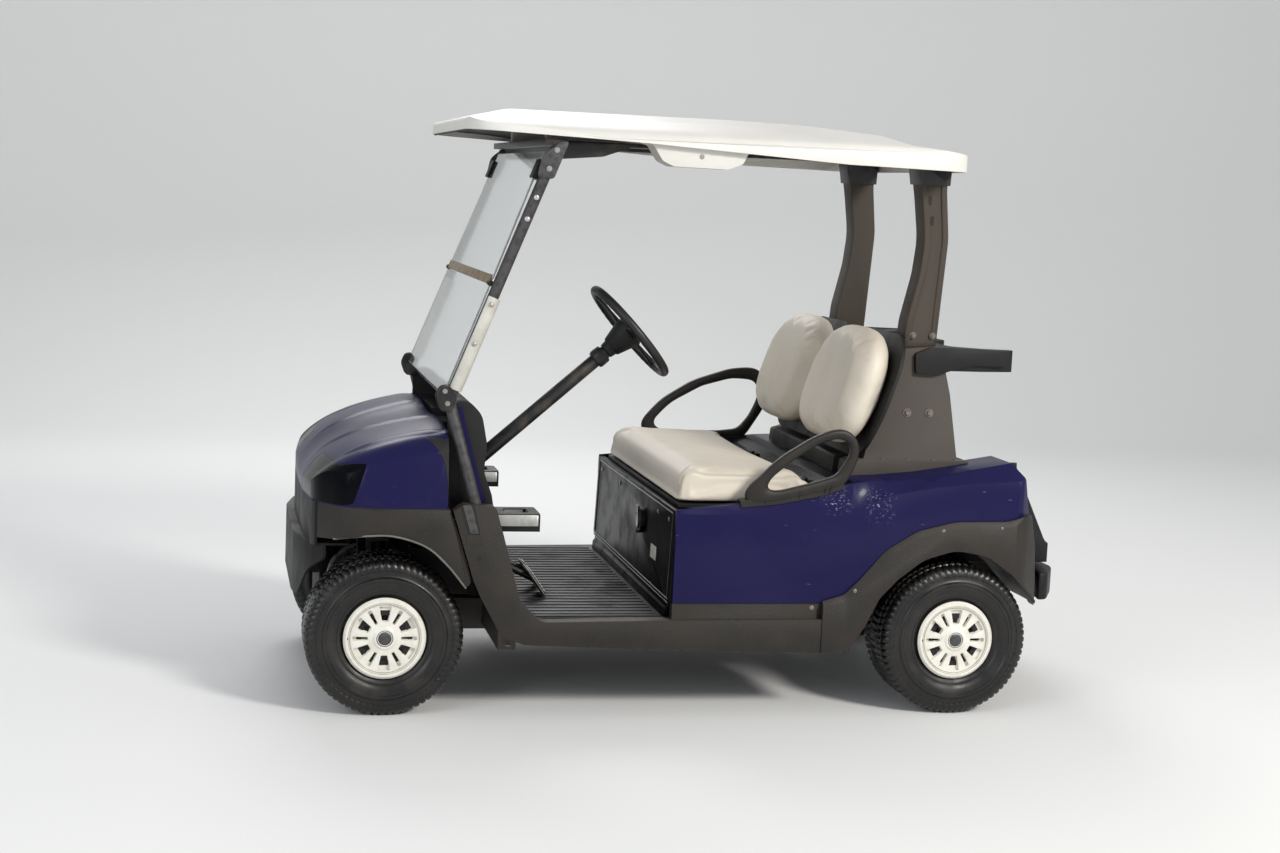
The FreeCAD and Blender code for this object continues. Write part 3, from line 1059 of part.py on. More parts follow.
def sleeve_shape():
    """Pale sleeve round the lower part of each strut, flat against the pane."""
    def at(z):
        share = (z - STRUT_TOP.z) / (STRUT_KNEE.z - STRUT_TOP.z)
        return STRUT_TOP + (STRUT_KNEE - STRUT_TOP) * share
    tube = rod(SLEEVE_R, at(SLEEVE_LOW_Z), at(SLEEVE_HIGH_Z)).cut(strut_tube(STRUT_R + SEAT_GAP))
    front = side_prism(along_strut(SLEEVE_LOW_Z - 90, SLEEVE_HIGH_Z + 90, STRUT_R - 2, STRUT_R + 60), 400, 640)
    return both_sides(tube.cut(front))


CLIP_IN_Y = 432.0
CLIP_EDGE_Y = 463.0


def clip_shape():
    """Clip on each strut that holds the upper pane's edge."""
    out_y = STRUT_TOP.y - STRUT_R - SEAT_GAP
    block = side_prism(along_strut(CLIP_LOW_Z, CLIP_HIGH_Z, 0, STRUT_R + PANE_T + 8), CLIP_IN_Y, out_y)
    slot = side_prism(along_strut(CLIP_LOW_Z - 9, CLIP_HIGH_Z + 9, STRUT_R, STRUT_R + PANE_T + 2 * SEAT_GAP),
                      CLIP_IN_Y - 1, CLIP_EDGE_Y)
    return both_sides(block.cut(slot))


FOLD_SHARE = 0.47
FOLD_GAP = 6.0
STRIP_HALF_Y = 480.0
STRIP_HALF = 14.0


def windshield_shape():
    """Two flat panes on the struts' front, meeting at the fold strip."""
    run, normal = strut_run()
    face = normal * (STRUT_R + SEAT_GAP)
    low = V(STRUT_KNEE.x, 0, STRUT_KNEE.z) + face - run * 10
    high = V(STRUT_TOP.x, 0, STRUT_TOP.z) + face + run * 20
    total = (high - low).Length
    fold = FOLD_SHARE * total
    panes = []
    for start, end, a, b in ((0, fold - FOLD_GAP, PANE_HALF_LOW, PANE_HALF_FOLD),
                             (fold + FOLD_GAP, total, PANE_HALF_FOLD, PANE_HALF_HIGH)):
        base = low - run * start
        tip = low - run * end
        wire = Part.makePolygon([base + V(0, -a, 0), base + V(0, a, 0), tip + V(0, b, 0), tip + V(0, -b, 0),
                                 base + V(0, -a, 0)])
        panes.append(Part.Face(wire).extrude(normal * PANE_T))
    middle = low - run * fold
    half, side = run * STRIP_HALF, V(0, STRIP_HALF_Y, 0)
    corners = [middle - half - side, middle - half + side, middle + half + side, middle + half - side]
    strip = Part.Face(Part.makePolygon(corners + corners[:1])).extrude(normal * (PANE_T + 4))
    return panes[0], panes[1], strip.cut([p.makeOffsetShape(SEAT_GAP, 0.01) for p in panes])


def steering_column_shape():
    axis = WHEEL_CENTRE - COLUMN_BASE
    unit = V(axis)
    unit.normalize()
    start = COLUMN_BASE - unit * 70
    end = WHEEL_CENTRE - unit * 92
    return rod(COLUMN_R, start, end)


def steering_wheel_shape():
    """Rim, three spokes and a deep hub, turning on the column's axis."""
    axis = WHEEL_CENTRE - COLUMN_BASE
    unit = V(axis)
    unit.normalize()
    rim = Part.makeTorus(STEER_RIM_R, STEER_GRIP_R, V(0, 0, 0), V(0, 0, 1))
    hub = Part.makeCone(30, 46, 60, V(0, 0, -72))
    pad = Part.makeCylinder(46, 16, V(0, 0, -12))
    pieces = [rim, hub, pad]
    neck = Part.makeCylinder(24, 20, V(0, 0, -91.7))
    pieces.append(neck)
    for angle in (90, 210, 330):
        spoke = Part.makeBox(STEER_RIM_R, 30, 9, V(0, -15, -6))
        spoke.rotate(V(0, 0, 0), V(0, 0, 1), angle)
        pieces.append(spoke)
    wheel = joined(pieces)
    wheel.Placement = FreeCAD.Placement(WHEEL_CENTRE, FreeCAD.Rotation(V(0, 0, 1), unit))
    return wheel


# Pedals: y of the middle, width of the pad
PEDALS = [(250.0, 90.0), (130.0, 60.0)]


def pedals_shape():
    """Brake and drive pedals on arms from the toe board."""
    pieces = []
    for y, width in PEDALS:
        pad = box(430, 520, y - width / 2, y + width / 2, 0, 10)
        pad.rotate(V(475, y, 5), V(0, 1, 0), -55)
        pad.translate(V(-35, 0, 328))
        arm = rod(9, V(440, y, 334), V(640, y, 430))
        pieces.append(joined([pad, arm]))
    room = side_prism([(560, FLOOR_TOP_Z, 40), (600, 330, 40), (648, 470, 60), (652, 559, 0), (800, 559, 0),
                       (800, 200, 0), (560, 200, 0)], -600, 600)
    return Part.makeCompound([piece.cut(room) for piece in pieces])


def build():
    """Every node of the part by name."""
    nodes = {
        "chassis_frame": frame_shape(),
        "front_suspension": front_suspension_shape(),
        "rear_axle": rear_axle_shape(),
        "drive_motor": motor_shape(),
        "rear_suspension": rear_suspension_shape(),
        "tie_rod": tie_rod_shape(),
        "front_bumper": front_bumper_shape(),
        "hood_cowl": hood_shape(),
        "headlights": headlight_shape(),
        "front_fenders": front_fender_shape(),
        "dash_panel": dash_shape(),
        "floor_pan": floor_shape(),
        "rockers": rocker_shape(),
        "kick_panel": kick_shape(),
        "rear_body": rear_body_shape(),
        "rear_fenders": rear_fenders_shape(),
        "bag_well": bag_well_shape(),
        "rear_bumper": rear_bumper_shape(),
        "battery_block": battery_shape(),
        "seat_board": seat_board_shape(),
        "seat_cushion": cushion_shape(),
        "seat_back_left": back_pad_shape(1),
        "seat_back_right": back_pad_shape(-1),
        "seat_back_shell": back_shell_shape(),
        "armrests": armrests_shape(),
        "post_panels": post_panel_shape(),
        "rear_posts": rear_post_shape(),
        "bag_rack": bag_rack_shape(),
        "roof": roof_shape(),
        "roof_bracket": roof_bracket_shape(),
        "front_struts": front_strut_shape(),
        "strut_sleeves": sleeve_shape(),
        "windshield_clips": clip_shape(),
        "steering_column": steering_column_shape(),
        "steering_wheel": steering_wheel_shape(),
        "pedals": pedals_shape(),
    }
    lower, upper, strip = windshield_shape()
    nodes["windshield_lower"] = lower
    nodes["windshield_upper"] = upper
    nodes["windshield_strip"] = strip
    for name, side in (("left", 1), ("right", -1)):
        nodes["knuckle_" + name] = knuckle_shape(side)
        for end, x, track in (("front", FRONT_AXLE_X, FRONT_TRACK), ("rear", REAR_AXLE_X, REAR_TRACK)):
            place = end + "_" + name
            nodes["tyre_" + place] = tyre_shape(x, side * track / 2)
            nodes["rim_" + place] = rim_shape(x, side * track / 2, side)
            nodes["cover_" + place] = cover_shape(x, side * track / 2, side)
    return nodes


os.makedirs("parts", exist_ok=True)
for name, shape in build().items():
    shape.exportStep("parts/" + name + ".step")
    size = shape.BoundBox
    print("%-18s %2d solids valid %s  x %.0f %.0f  y %.0f %.0f  z %.0f %.0f" % (
        name, len(shape.Solids), shape.isValid(), size.XMin, size.XMax, size.YMin, size.YMax,
        size.ZMin, size.ZMax))
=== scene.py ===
import json
import math

import bmesh
import bpy
from mathutils import Matrix, Vector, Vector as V
from mathutils.bvhtree import BVHTree

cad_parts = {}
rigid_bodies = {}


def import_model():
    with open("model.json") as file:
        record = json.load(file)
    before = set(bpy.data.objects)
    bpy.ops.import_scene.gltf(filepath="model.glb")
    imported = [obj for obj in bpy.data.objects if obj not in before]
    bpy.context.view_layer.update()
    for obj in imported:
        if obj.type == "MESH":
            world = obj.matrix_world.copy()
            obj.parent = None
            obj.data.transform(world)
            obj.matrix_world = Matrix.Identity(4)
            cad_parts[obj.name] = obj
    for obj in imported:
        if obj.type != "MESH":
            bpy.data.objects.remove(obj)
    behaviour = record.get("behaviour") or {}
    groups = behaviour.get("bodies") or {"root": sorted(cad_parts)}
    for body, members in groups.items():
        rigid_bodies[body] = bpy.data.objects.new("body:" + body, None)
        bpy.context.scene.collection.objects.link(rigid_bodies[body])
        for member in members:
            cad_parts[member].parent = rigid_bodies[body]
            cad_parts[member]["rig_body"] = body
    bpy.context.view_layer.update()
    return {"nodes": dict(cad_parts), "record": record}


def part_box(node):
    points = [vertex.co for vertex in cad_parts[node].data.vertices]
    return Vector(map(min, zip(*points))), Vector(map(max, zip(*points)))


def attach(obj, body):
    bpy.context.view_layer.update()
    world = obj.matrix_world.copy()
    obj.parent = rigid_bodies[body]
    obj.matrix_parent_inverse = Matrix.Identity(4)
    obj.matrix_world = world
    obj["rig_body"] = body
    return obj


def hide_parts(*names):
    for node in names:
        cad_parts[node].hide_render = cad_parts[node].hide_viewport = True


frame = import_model()
nodes = frame["nodes"]
SLOTS = {row["node"]: row["material_slot"] for row in frame["record"]["subparts"]}
SIDES = ((1, "left"), (-1, "right"))


# Materials

# Noise: scale, detail, from, to. A tint adds its share and colour, a dulling its roughness.
# Fine relief: noise scale, detail, depth, strength.
WORN = [
    # name, colour, roughness, tint, dulling, relief, other settings
    ("smoked_lens", (9, 10, 15), 0.22, None, None, (40, 4, 0.0004, 0.2), {"specular": 0.05}),
    ("white_shell", (218, 216, 210), 0.45, (5, 6, 0.40, 0.75, 0.25, (188, 182, 170)), None,
     (700, 2, 0.0004, 0.3), {}),
    ("cream_vinyl", (208, 199, 184), 0.5, (9, 5, 0.42, 0.72, 0.25, (184, 173, 153)), None, None, {}),
    ("ivory_cover", (226, 224, 214), 0.38, (26, 6, 0.45, 0.75, 0.35, (176, 168, 150)), None, None, {}),
    ("tyre", (15, 14, 14), 0.34, (14, 6, 0.48, 0.72, 0.25, (62, 55, 47)), (14, 6, 0.48, 0.72, 0.6),
     (300, 4, 0.0008, 0.4), {}),
    ("rim_steel", (150, 150, 150), 0.4, (40, 5, 0.5, 0.7, 1.0, (96, 92, 86)), None, None, {"metallic": 0.9}),
    ("galvanised", (70, 69, 70), 0.5, None, None, None, {"metallic": 0.7}),
    ("frame_metal", (74, 71, 68), 0.6, (12, 6, 0.45, 0.7, 0.6, (58, 50, 42)), None, None, {"metallic": 0.6}),
    ("black_steel", (17, 17, 18), 0.45, (18, 6, 0.5, 0.7, 0.5, (84, 74, 62)), None, (500, 4, 0.0004, 0.3), {}),
    ("motor_metal", (40, 41, 44), 0.5, (18, 6, 0.5, 0.7, 0.5, (88, 80, 70)), None, None, {}),
    ("black_mat", (13, 13, 15), 0.3, None, (8, 5, 0.4, 0.65, 0.65), None, {}),
    ("battery_case", (70, 70, 70), 0.6, None, None, (300, 4, 0.0005, 0.3), {}),
    ("tan_strip", (138, 124, 98), 0.7, (30, 5, 0.45, 0.7, 1.0, (96, 84, 66)), None, None, {}),
    ("pale_sleeve", (196, 194, 186), 0.45, (14, 5, 0.45, 0.7, 0.5, (140, 134, 122)), None,
     (400, 4, 0.0004, 0.3), {}),
    # Finishes of small pieces that differ from the record's slots
    ("kick_black", (6, 6, 7), 0.34, (9, 4, 0.52, 0.78, 0.25, (36, 34, 32)), (12, 4, 0.45, 0.7, 0.5), None,
     {"specular": 0.10}),
    # Dark seams and joints, and painted shade in the cover windows, behind the hood's side panels and under the
    # roof's nose
    ("groove_and_shade", (12, 12, 12), 0.7, (40, 4, 0.45, 0.7, 0.4, (36, 34, 32)), None, None, {}),
    ("lip", (104, 102, 98), 0.42, (30, 4, 0.45, 0.7, 0.5, (60, 58, 56)), None, None, {}),
    ("cover_line", (176, 172, 160), 0.45, (40, 4, 0.4, 0.7, 0.5, (120, 114, 100)), None, None, {}),
    ("cap_dark", (58, 60, 64), 0.35, (90, 4, 0.45, 0.7, 0.4, (110, 108, 104)), None, None, {}),
    ("gloss_black", (9, 9, 10), 0.16, (9, 4, 0.5, 0.75, 0.3, (60, 58, 54)), (12, 4, 0.45, 0.7, 0.4), None,
     {"coat": 0.3}),
    ("grip", (20, 20, 20), 0.45, None, (30, 4, 0.45, 0.7, 0.6), (600, 4, 0.0004, 0.4), {}),
    ("silver", (168, 168, 166), 0.42, (30, 4, 0.42, 0.7, 0.5, (112, 108, 100)), None, None, {"metallic": 0.55}),
    ("zinc", (176, 174, 168), 0.35, (80, 4, 0.45, 0.7, 0.5, (110, 100, 84)), None, None, {"metallic": 0.9}),
    ("bright", (206, 206, 204), 0.28, (80, 4, 0.5, 0.7, 0.4, (140, 136, 130)), None, None, {"metallic": 0.9}),
    ("dusty_bolt", (120, 114, 106), 0.5, (80, 4, 0.45, 0.7, 0.6, (84, 76, 66)), None, None, {"metallic": 0.5}),
    ("grey_plug", (150, 148, 142), 0.5, (80, 4, 0.45, 0.7, 0.4, (110, 108, 102)), None, None, {}),
    ("pane_edge", (196, 206, 206), 0.25, (40, 4, 0.45, 0.7, 0.4, (140, 146, 144)), None, None, {}),
]
# Grained mouldings: name, colour, roughness, dust's colour, dust's share, grain's scale and depth
GRAINED = [
    ("black_mould", (15, 15, 16), 0.48, (52, 50, 47), 0.16, 900.0, 0.0006),
    ("charcoal_mould", (38, 35, 32), 0.46, (92, 82, 70), 0.24, 520.0, 0.0010),
    ("grey_mould", (74, 69, 64), 0.6, (112, 104, 94), 0.35, 900.0, 0.0006),
    ("post", (62, 55, 48), 0.55, (106, 95, 82), 0.24, 900.0, 0.0006),
    ("armrest", (30, 27, 25), 0.36, (80, 70, 58), 0.25, 900.0, 0.0006),
]
# Near-black band without reflection on the deck behind the seat, and pale speckled patches of the paint, as
# boxes in x and z (m): scuffs near the armrest in the first box, a painted highlight on the shoulder in the
# second
DECK_X = (-0.4365, -0.3403)
DECK_HALF_Y = 0.5459
DECK_LOW_Z = 0.591
DECK_BLUR = 0.0003
SCUFFS_AND_HIGHLIGHT = [(-0.440, -0.310, 0.585, 0.668), (-0.560, -0.455, 0.560, 0.680)]


def srgb(r, g, b):
    """Linear colour from the 0-255 values of a colour as seen."""
    def line(v):
        v = v / 255.0
        return v / 12.92 if v <= 0.04045 else ((v + 0.055) / 1.055) ** 2.4
    return (line(r), line(g), line(b), 1.0)


class Mat:
    """A Principled material with its texture nodes, all in object coordinates."""

    def __init__(self, name, colour, rough, metallic=0.0, coat=0.0, specular=0.5):
        self.mat = bpy.data.materials.new(name)
        self.mat.use_nodes = True
        self.tree = self.mat.node_tree
        self.bsdf = self.tree.nodes["Principled BSDF"]
        self.coord = self.tree.nodes.new("ShaderNodeTexCoord").outputs["Object"]
        self.base = colour if len(colour) == 4 else srgb(*colour)
        self.rough = rough
        self.colour = self.height = None
        for socket, value in (("Base Color", self.base), ("Roughness", rough), ("Metallic", metallic),
                              ("Coat Weight", coat), ("Specular IOR Level", specular)):
            self.set(socket, value)

    def set(self, socket, value):
        self.bsdf.inputs[socket].default_value = value

    def node(self, kind, inputs=None, **settings):
        """A new node; each of its inputs takes a value or the output of another node."""
        made = self.tree.nodes.new(kind)
        for key, value in settings.items():
            setattr(made, key, value)
        for key, value in (inputs or {}).items():
            if isinstance(value, bpy.types.NodeSocket):
                self.tree.links.new(value, made.inputs[key])
            else:
                made.inputs[key].default_value = value
        return made

    def noise(self, scale, detail=4.0, rough=0.55, stretch=None):
        place = self.coord
        if stretch:
            place = self.node("ShaderNodeMapping", {"Vector": place, "Scale": stretch}).outputs["Vector"]
        inputs = {"Scale": scale, "Detail": detail, "Roughness": rough, "Vector": place}
        return self.node("ShaderNodeTexNoise", inputs).outputs["Fac"]

    def cells(self, scale):
        return self.node("ShaderNodeTexVoronoi", {"Scale": scale, "Vector": self.coord}).outputs["Distance"]

    def band(self, value, low, high):
        """0 below low, 1 above high, straight between."""
        made = self.node("ShaderNodeMapRange", {"Value": value, "From Min": low, "From Max": high})
        return made.outputs["Result"]

    def patches(self, scale, detail, low, high):
        return self.band(self.noise(scale, detail), low, high)

    def times(self, a, b):
        return self.node("ShaderNodeMath", {0: a, 1: b}, operation="MULTIPLY").outputs[0]

    def axis(self, name, of=None):
        return self.node("ShaderNodeSeparateXYZ", {0: self.coord if of is None else of}).outputs[name]

    def facing(self, low, high):
        """How far the surface faces up, or down where high is below low, 0 to 1."""
        normal = self.node("ShaderNodeNewGeometry").outputs["Normal"]
        return self.band(self.axis("Z", normal), low, high)

    def tint(self, mask, colour):
        """Lay a colour over what is there, as far as the mask says."""
        under = self.base if self.colour is None else self.colour
        mix = self.node("ShaderNodeMix", {"Factor": mask, "A": under, "B": srgb(*colour)}, data_type="RGBA")
        self.colour = mix.outputs["Result"]
        self.tree.links.new(self.colour, self.bsdf.inputs["Base Color"])

    def fade(self, socket, mask, low, high):
        """A socket's value goes from low to high as far as the mask says."""
        made = self.node("ShaderNodeMapRange", {"Value": mask, "To Min": low, "To Max": high})
        self.tree.links.new(made.outputs["Result"], self.bsdf.inputs[socket])

    def dull(self, mask, rough):
        self.fade("Roughness", mask, self.rough, rough)

    def bump(self, height, distance, strength):
        inputs = {"Strength": strength, "Distance": distance, "Height": height}
        if self.height is not None:
            inputs["Normal"] = self.height
        self.height = self.node("ShaderNodeBump", inputs).outputs["Normal"]
        self.tree.links.new(self.height, self.bsdf.inputs["Normal"])


def worn(name, colour, rough, tint, dull, relief, more):
    m = Mat(name, colour, rough, **more)
    if tint:
        m.tint(m.times(m.patches(*tint[:4]), tint[4]), tint[5])
    if dull:
        m.dull(m.patches(*dull[:4]), dull[4])
    if relief:
        m.bump(m.noise(*relief[:2]), *relief[2:])
    return m


def grained(name, colour, rough, dust, share, grain, depth):
    """Grained moulding with dust in its hollows and on what faces up."""
    m = Mat(name, colour, rough, specular=0.32)
    hollows = m.patches(7.0, 6.0, 0.42, 0.72)
    m.tint(m.times(hollows, share * 0.5), dust)
    m.tint(m.times(m.facing(0.2, 0.95), share), dust)
    m.dull(hollows, min(rough + 0.2, 1.0))
    m.bump(m.noise(grain, 2.0), depth, 0.5)
    m.bump(m.cells(grain * 0.55), depth * 1.2, 0.45)
    return m


def blue_paint(name, deck=False):
    """Deep gloss blue with faint haze and fine scratches; with the deck, a near-black band without reflection
    behind the seat, scuffs, and a painted highlight on the shoulder.
    """
    coat, specular = 0.05, 0.09
    m = Mat(name, (28, 26, 66), 0.32, coat=coat, specular=specular)
    m.set("Coat Roughness", 0.10)
    haze = m.patches(3.0, 5.0, 0.48, 0.78)
    m.tint(m.times(haze, 0.10), (64, 62, 104))
    m.dull(haze, 0.36)
    scratch = m.band(m.noise(60.0, 3.0, 0.6, (0.25, 1.0, 1.6)), 0.71, 0.77)
    m.tint(m.times(scratch, 0.35), (140, 142, 166))
    if deck:
        # Near-black band on the deck behind the seat, with its coat and specular faded out
        x, z, b = m.axis("X"), m.axis("Z"), DECK_BLUR
        side = m.node("ShaderNodeMath", {0: m.axis("Y")}, operation="ABSOLUTE").outputs[0]
        here = m.times(m.band(x, DECK_X[0] - b, DECK_X[0] + b), m.band(x, DECK_X[1] + b, DECK_X[1] - b))
        here = m.times(here, m.band(side, DECK_HALF_Y + b, DECK_HALF_Y - b))
        here = m.times(here, m.band(z, DECK_LOW_Z - 0.001, DECK_LOW_Z + 0.001))
        m.tint(here, (12, 12, 13))
        m.fade("Coat Weight", here, coat, 0.0)
        m.fade("Specular IOR Level", here, specular, 0.03)
        # Pale specks in boxes: scuffs near the armrest, and a painted highlight on the body's shoulder
        spots = m.band(m.noise(190.0, 2.0, 0.6, (0.5, 1.0, 1.0)), 0.60, 0.66)
        for x0, x1, z0, z1 in SCUFFS_AND_HIGHLIGHT:
            wide, high = (x1 - x0) * 0.4, (z1 - z0) * 0.4
            patch = m.times(m.band(x, x0, x0 + wide), m.band(x, x1, x1 - wide))
            patch = m.times(patch, m.times(m.band(z, z0, z0 + high), m.band(z, z1, z1 - high)))
            m.tint(m.times(m.times(patch, spots), 0.75), (150, 150, 172))
    return m


def make_materials():
    made = {row[0]: worn(*row) for row in WORN}
    made.update({row[0]: grained(*row) for row in GRAINED})
    made["blue_body"] = blue_paint("blue_body")
    made["deck_blue"] = blue_paint("deck_blue", True)
    made["pane_edge"].set("Transmission Weight", 0.5)
    m = made["white_shell"]
    # Painted shade on the canopy's underside: faces turned down are tinted tan, and near-black under the nose
    m.tint(m.times(m.facing(-0.15, -0.6), 0.85), (150, 140, 126))
    m.tint(m.times(m.facing(-0.15, -0.6), m.band(m.axis("X"), 0.30, 0.42)), (38, 36, 34))
    m = made["cream_vinyl"]
    m.bump(m.cells(420.0), 0.0005, 0.35)
    m.bump(m.noise(22.0, 3.0), 0.004, 0.25)
    m = made["galvanised"]
    m.tint(m.times(m.band(m.cells(60.0), 0.2, 0.6), 0.4), (104, 102, 102))
    m.dull(m.noise(30.0), 0.7)
    m = made["clear_pane"] = Mat("clear_pane", (0.93, 0.96, 0.97, 1.0), 0.06)
    m.set("Transmission Weight", 0.96)
    m.set("IOR", 1.2)
    return {name: m.mat for name, m in made.items()}


MATS = make_materials()
for node, slot in SLOTS.items():
    nodes[node].data.materials.clear()
    nodes[node].data.materials.append(MATS[slot])


# Mesh helpers

MERGE = 0.00001


def body_of(node):
    return nodes[node]["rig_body"]


def piece(name, bm, slot, look=None, body="chassis", replaces=(), sharp=35.0):
    """Turn a bmesh into a piece that rides on a body and takes its finish from a slot."""
    bmesh.ops.recalc_face_normals(bm, faces=bm.faces)
    mesh = bpy.data.meshes.new(name)
    for face in bm.faces:
        face.smooth = True
    bm.to_mesh(mesh)
    bm.free()
    mesh.set_sharp_from_angle(angle=math.radians(sharp))
    mesh.materials.append(MATS[look or slot])
    obj = bpy.data.objects.new(name, mesh)
    bpy.context.scene.collection.objects.link(obj)
    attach(obj, body)
    if replaces:
        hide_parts(*replaces)


def merge(bm, reach=MERGE):
    bmesh.ops.remove_doubles(bm, verts=bm.verts, dist=reach)


def from_node(node, flat):
    """A node's mesh without the edges inside its flat faces."""
    bm = bmesh.new()
    bm.from_mesh(nodes[node].data)
    merge(bm, 2 * MERGE)
    bmesh.ops.dissolve_limit(bm, angle_limit=math.radians(flat), verts=bm.verts, edges=bm.edges)
    return bm


def soften(bm, width, segments=2, limit=30.0):
    """Round every edge that is sharper than the limit."""
    edges = [e for e in bm.edges if len(e.link_faces) == 2 and e.calc_face_angle(0.0) > math.radians(limit)]
    bmesh.ops.bevel(bm, geom=edges, offset=width, segments=segments, profile=0.5, affect="EDGES",
                    clamp_overlap=True)


def refined(node, width, segments=2, limit=30.0, look=None, sharp=35.0):
    """A copy of a rigid node's mesh with rounded edges, in the node's place."""
    bm = from_node(node, 0.6)
    soften(bm, width, segments, limit)
    piece(node + "_fine", bm, SLOTS[node], look, body_of(node), (node,), sharp)


def skin_of(node):
    """A node's faces, ready for rays."""
    mesh = nodes[node].data
    return BVHTree.FromPolygons([v.co for v in mesh.vertices], [tuple(f.vertices) for f in mesh.polygons])


def mm(x, y, z):
    """A point given in mm."""
    return V((x, y, z)) / 1000.0


def between(rows, x):
    """Straight between the pairs of a table, and level past its ends."""
    for (x0, y0), (x1, y1) in zip(rows, rows[1:]):
        if x <= x1:
            return y0 + (y1 - y0) * max((x - x0) / (x1 - x0), 0.0)
    return rows[-1][1]


def turns(count, start=0.0):
    return [start + 2 * math.pi * k / count for k in range(count)]


def across_axis(axis):
    """The axis as a unit vector, and two more at right angles to it."""
    axis = V(axis).normalized()
    side = axis.orthogonal().normalized()
    return axis, side, axis.cross(side)


def loft(bm, loops, ends=True):
    rows = [[bm.verts.new(p) for p in loop] for loop in loops]
    count = len(rows[0])
    for low, high in zip(rows, rows[1:]):
        for i in range(count):
            j = (i + 1) % count
            bm.faces.new((low[i], low[j], high[j], high[i]))
    if ends:
        bm.faces.new(rows[0][::-1])
        bm.faces.new(rows[-1])


def closed_loft(bm, rings):
    """Loft that comes back to its first ring."""
    loft(bm, rings + rings[:1], False)
    merge(bm)


def slab(bm, loop, along):
    """A flat outline carried along a vector."""
    loft(bm, [[V(p) for p in loop], [V(p) + V(along) for p in loop]])


def rounded_loop(points, radius, steps=4):
    """Plane outline (pairs) with each corner cut to an arc of about this reach."""
    out = []
    for i, p in enumerate(points):
        here = V(p)
        back, ahead = V(points[i - 1]) - here, V(points[(i + 1) % len(points)]) - here
        a = here + back.normalized() * min(radius, back.length * 0.45)
        b = here + ahead.normalized() * min(radius, ahead.length * 0.45)
        for t in (k / steps for k in range(steps + 1)):
            out.append(a.lerp(here, t).lerp(here.lerp(b, t), t))
    return out


def block(x0, x1, y0, y1):
    """Corners of an upright rectangle, as pairs."""
    return [(x0, y0), (x1, y0), (x1, y1), (x0, y1)]


def side_slab(bm, points, y, thick, radius=0.0, steps=4):
    """Slab on an outline in side view at a y (mm), thick (mm) away from the middle of the cart."""
    slab(bm, side_loop(points, y, radius, steps), (0, math.copysign(thick / 1000.0, y), 0))


def side_loop(points, y, radius=0.0, steps=4):
    """Outline in x and z (mm) at a y (mm), in metres."""
    pairs = rounded_loop(points, radius, steps) if radius else [V(p) for p in points]
    return [V((p.x, y, p.y)) / 1000.0 for p in pairs]


def smooth_path(points, steps=8):
    """A curve through the points."""
    pts = [V(p) for p in points]
    pts = [2 * pts[0] - pts[1]] + pts + [2 * pts[-1] - pts[-2]]
    out = []
    for i in range(1, len(pts) - 2):
        a, b, c, d = pts[i - 1:i + 3]
        for t in (k / steps for k in range(steps)):
            out.append(0.5 * ((2 * b) + (c - a) * t + (2 * a - 5 * b + 4 * c - d) * t * t
                              + (3 * b - a - 3 * c + d) * t * t * t))
    return out + [pts[-2]]


def tube(bm, path, radius, sides=10, closed=False):
    """Round tube along a path of points."""
    path = [V(p) for p in path]
    rings = []
    last = len(path) - 1
    normal = None
    for i, p in enumerate(path):
        after = path[(i + 1) % len(path)] if closed or i < last else p
        before = path[i - 1] if closed or i > 0 else p
        run = (after - before).normalized()
        normal = normal or run.orthogonal().normalized()
        normal = (normal - run * normal.dot(run)).normalized()
        cross = run.cross(normal)
        rings.append([p + (normal * math.cos(a) + cross * math.sin(a)) * radius for a in turns(sides)])
    if closed:
        closed_loft(bm, rings)
    else:
        loft(bm, rings)


def lathe(bm, centre, axis, profile, steps, wave=None):
    """Revolve (offset, radius) pairs in mm about an axis through the centre; wave sinks points of a step."""
    axis, side, up = across_axis(axis)
    rows = []
    for k, a in enumerate(turns(steps)):
        out = side * math.cos(a) + up * math.sin(a)
        radii = [rad - (wave(k, j) if wave else 0.0) for j, (off, rad) in enumerate(profile)]
        rows.append([bm.verts.new(V(centre) + (axis * off + out * rad) / 1000.0)
                     for (off, _), rad in zip(profile, radii)])
    for k in range(steps):
        a, b = rows[k], rows[(k + 1) % steps]
        for j in range(len(profile) - 1):
            bm.faces.new((a[j], a[j + 1], b[j + 1], b[j]))
    merge(bm)


def bead(offset, radius, high, wide):
    """Closed oval profile for the lathe."""
    ring = [(offset + high * math.sin(a), radius + wide * math.cos(a)) for a in turns(8)]
    return ring + ring[:1]


def bolt(bm, place, axis, size):
    """Hexagon head on a washer; size is across the corners, all in mm."""
    axis, side, up = across_axis(axis)
    place = V(place) / 1000.0

    def ring(count, r, off):
        return [place + (axis * off + (side * math.cos(a) + up * math.sin(a)) * r) / 1000.0
                for a in turns(count)]
    washer, head = size * 0.78, size * 0.35
    loft(bm, [ring(20, washer, -0.4), ring(20, washer, size * 0.08), ring(20, washer * 0.95, size * 0.12)])
    base, r = size * 0.1, size / 2
    loft(bm, [ring(6, r, base - 0.3), ring(6, r, base + head * 0.8), ring(6, r * 0.86, base + head)])


def dome(bm, place, axis, radius, height):
    """Rounded rivet or screw head, in mm."""
    shares = ((0.25, 1.0), (0.7, 0.8), (0.95, 0.4), (1.0, 0.0))
    profile = [(-0.4, radius)] + [(height * high, radius * wide) for high, wide in shares]
    lathe(bm, V(place) / 1000.0, axis, profile, 18)


# Wheels

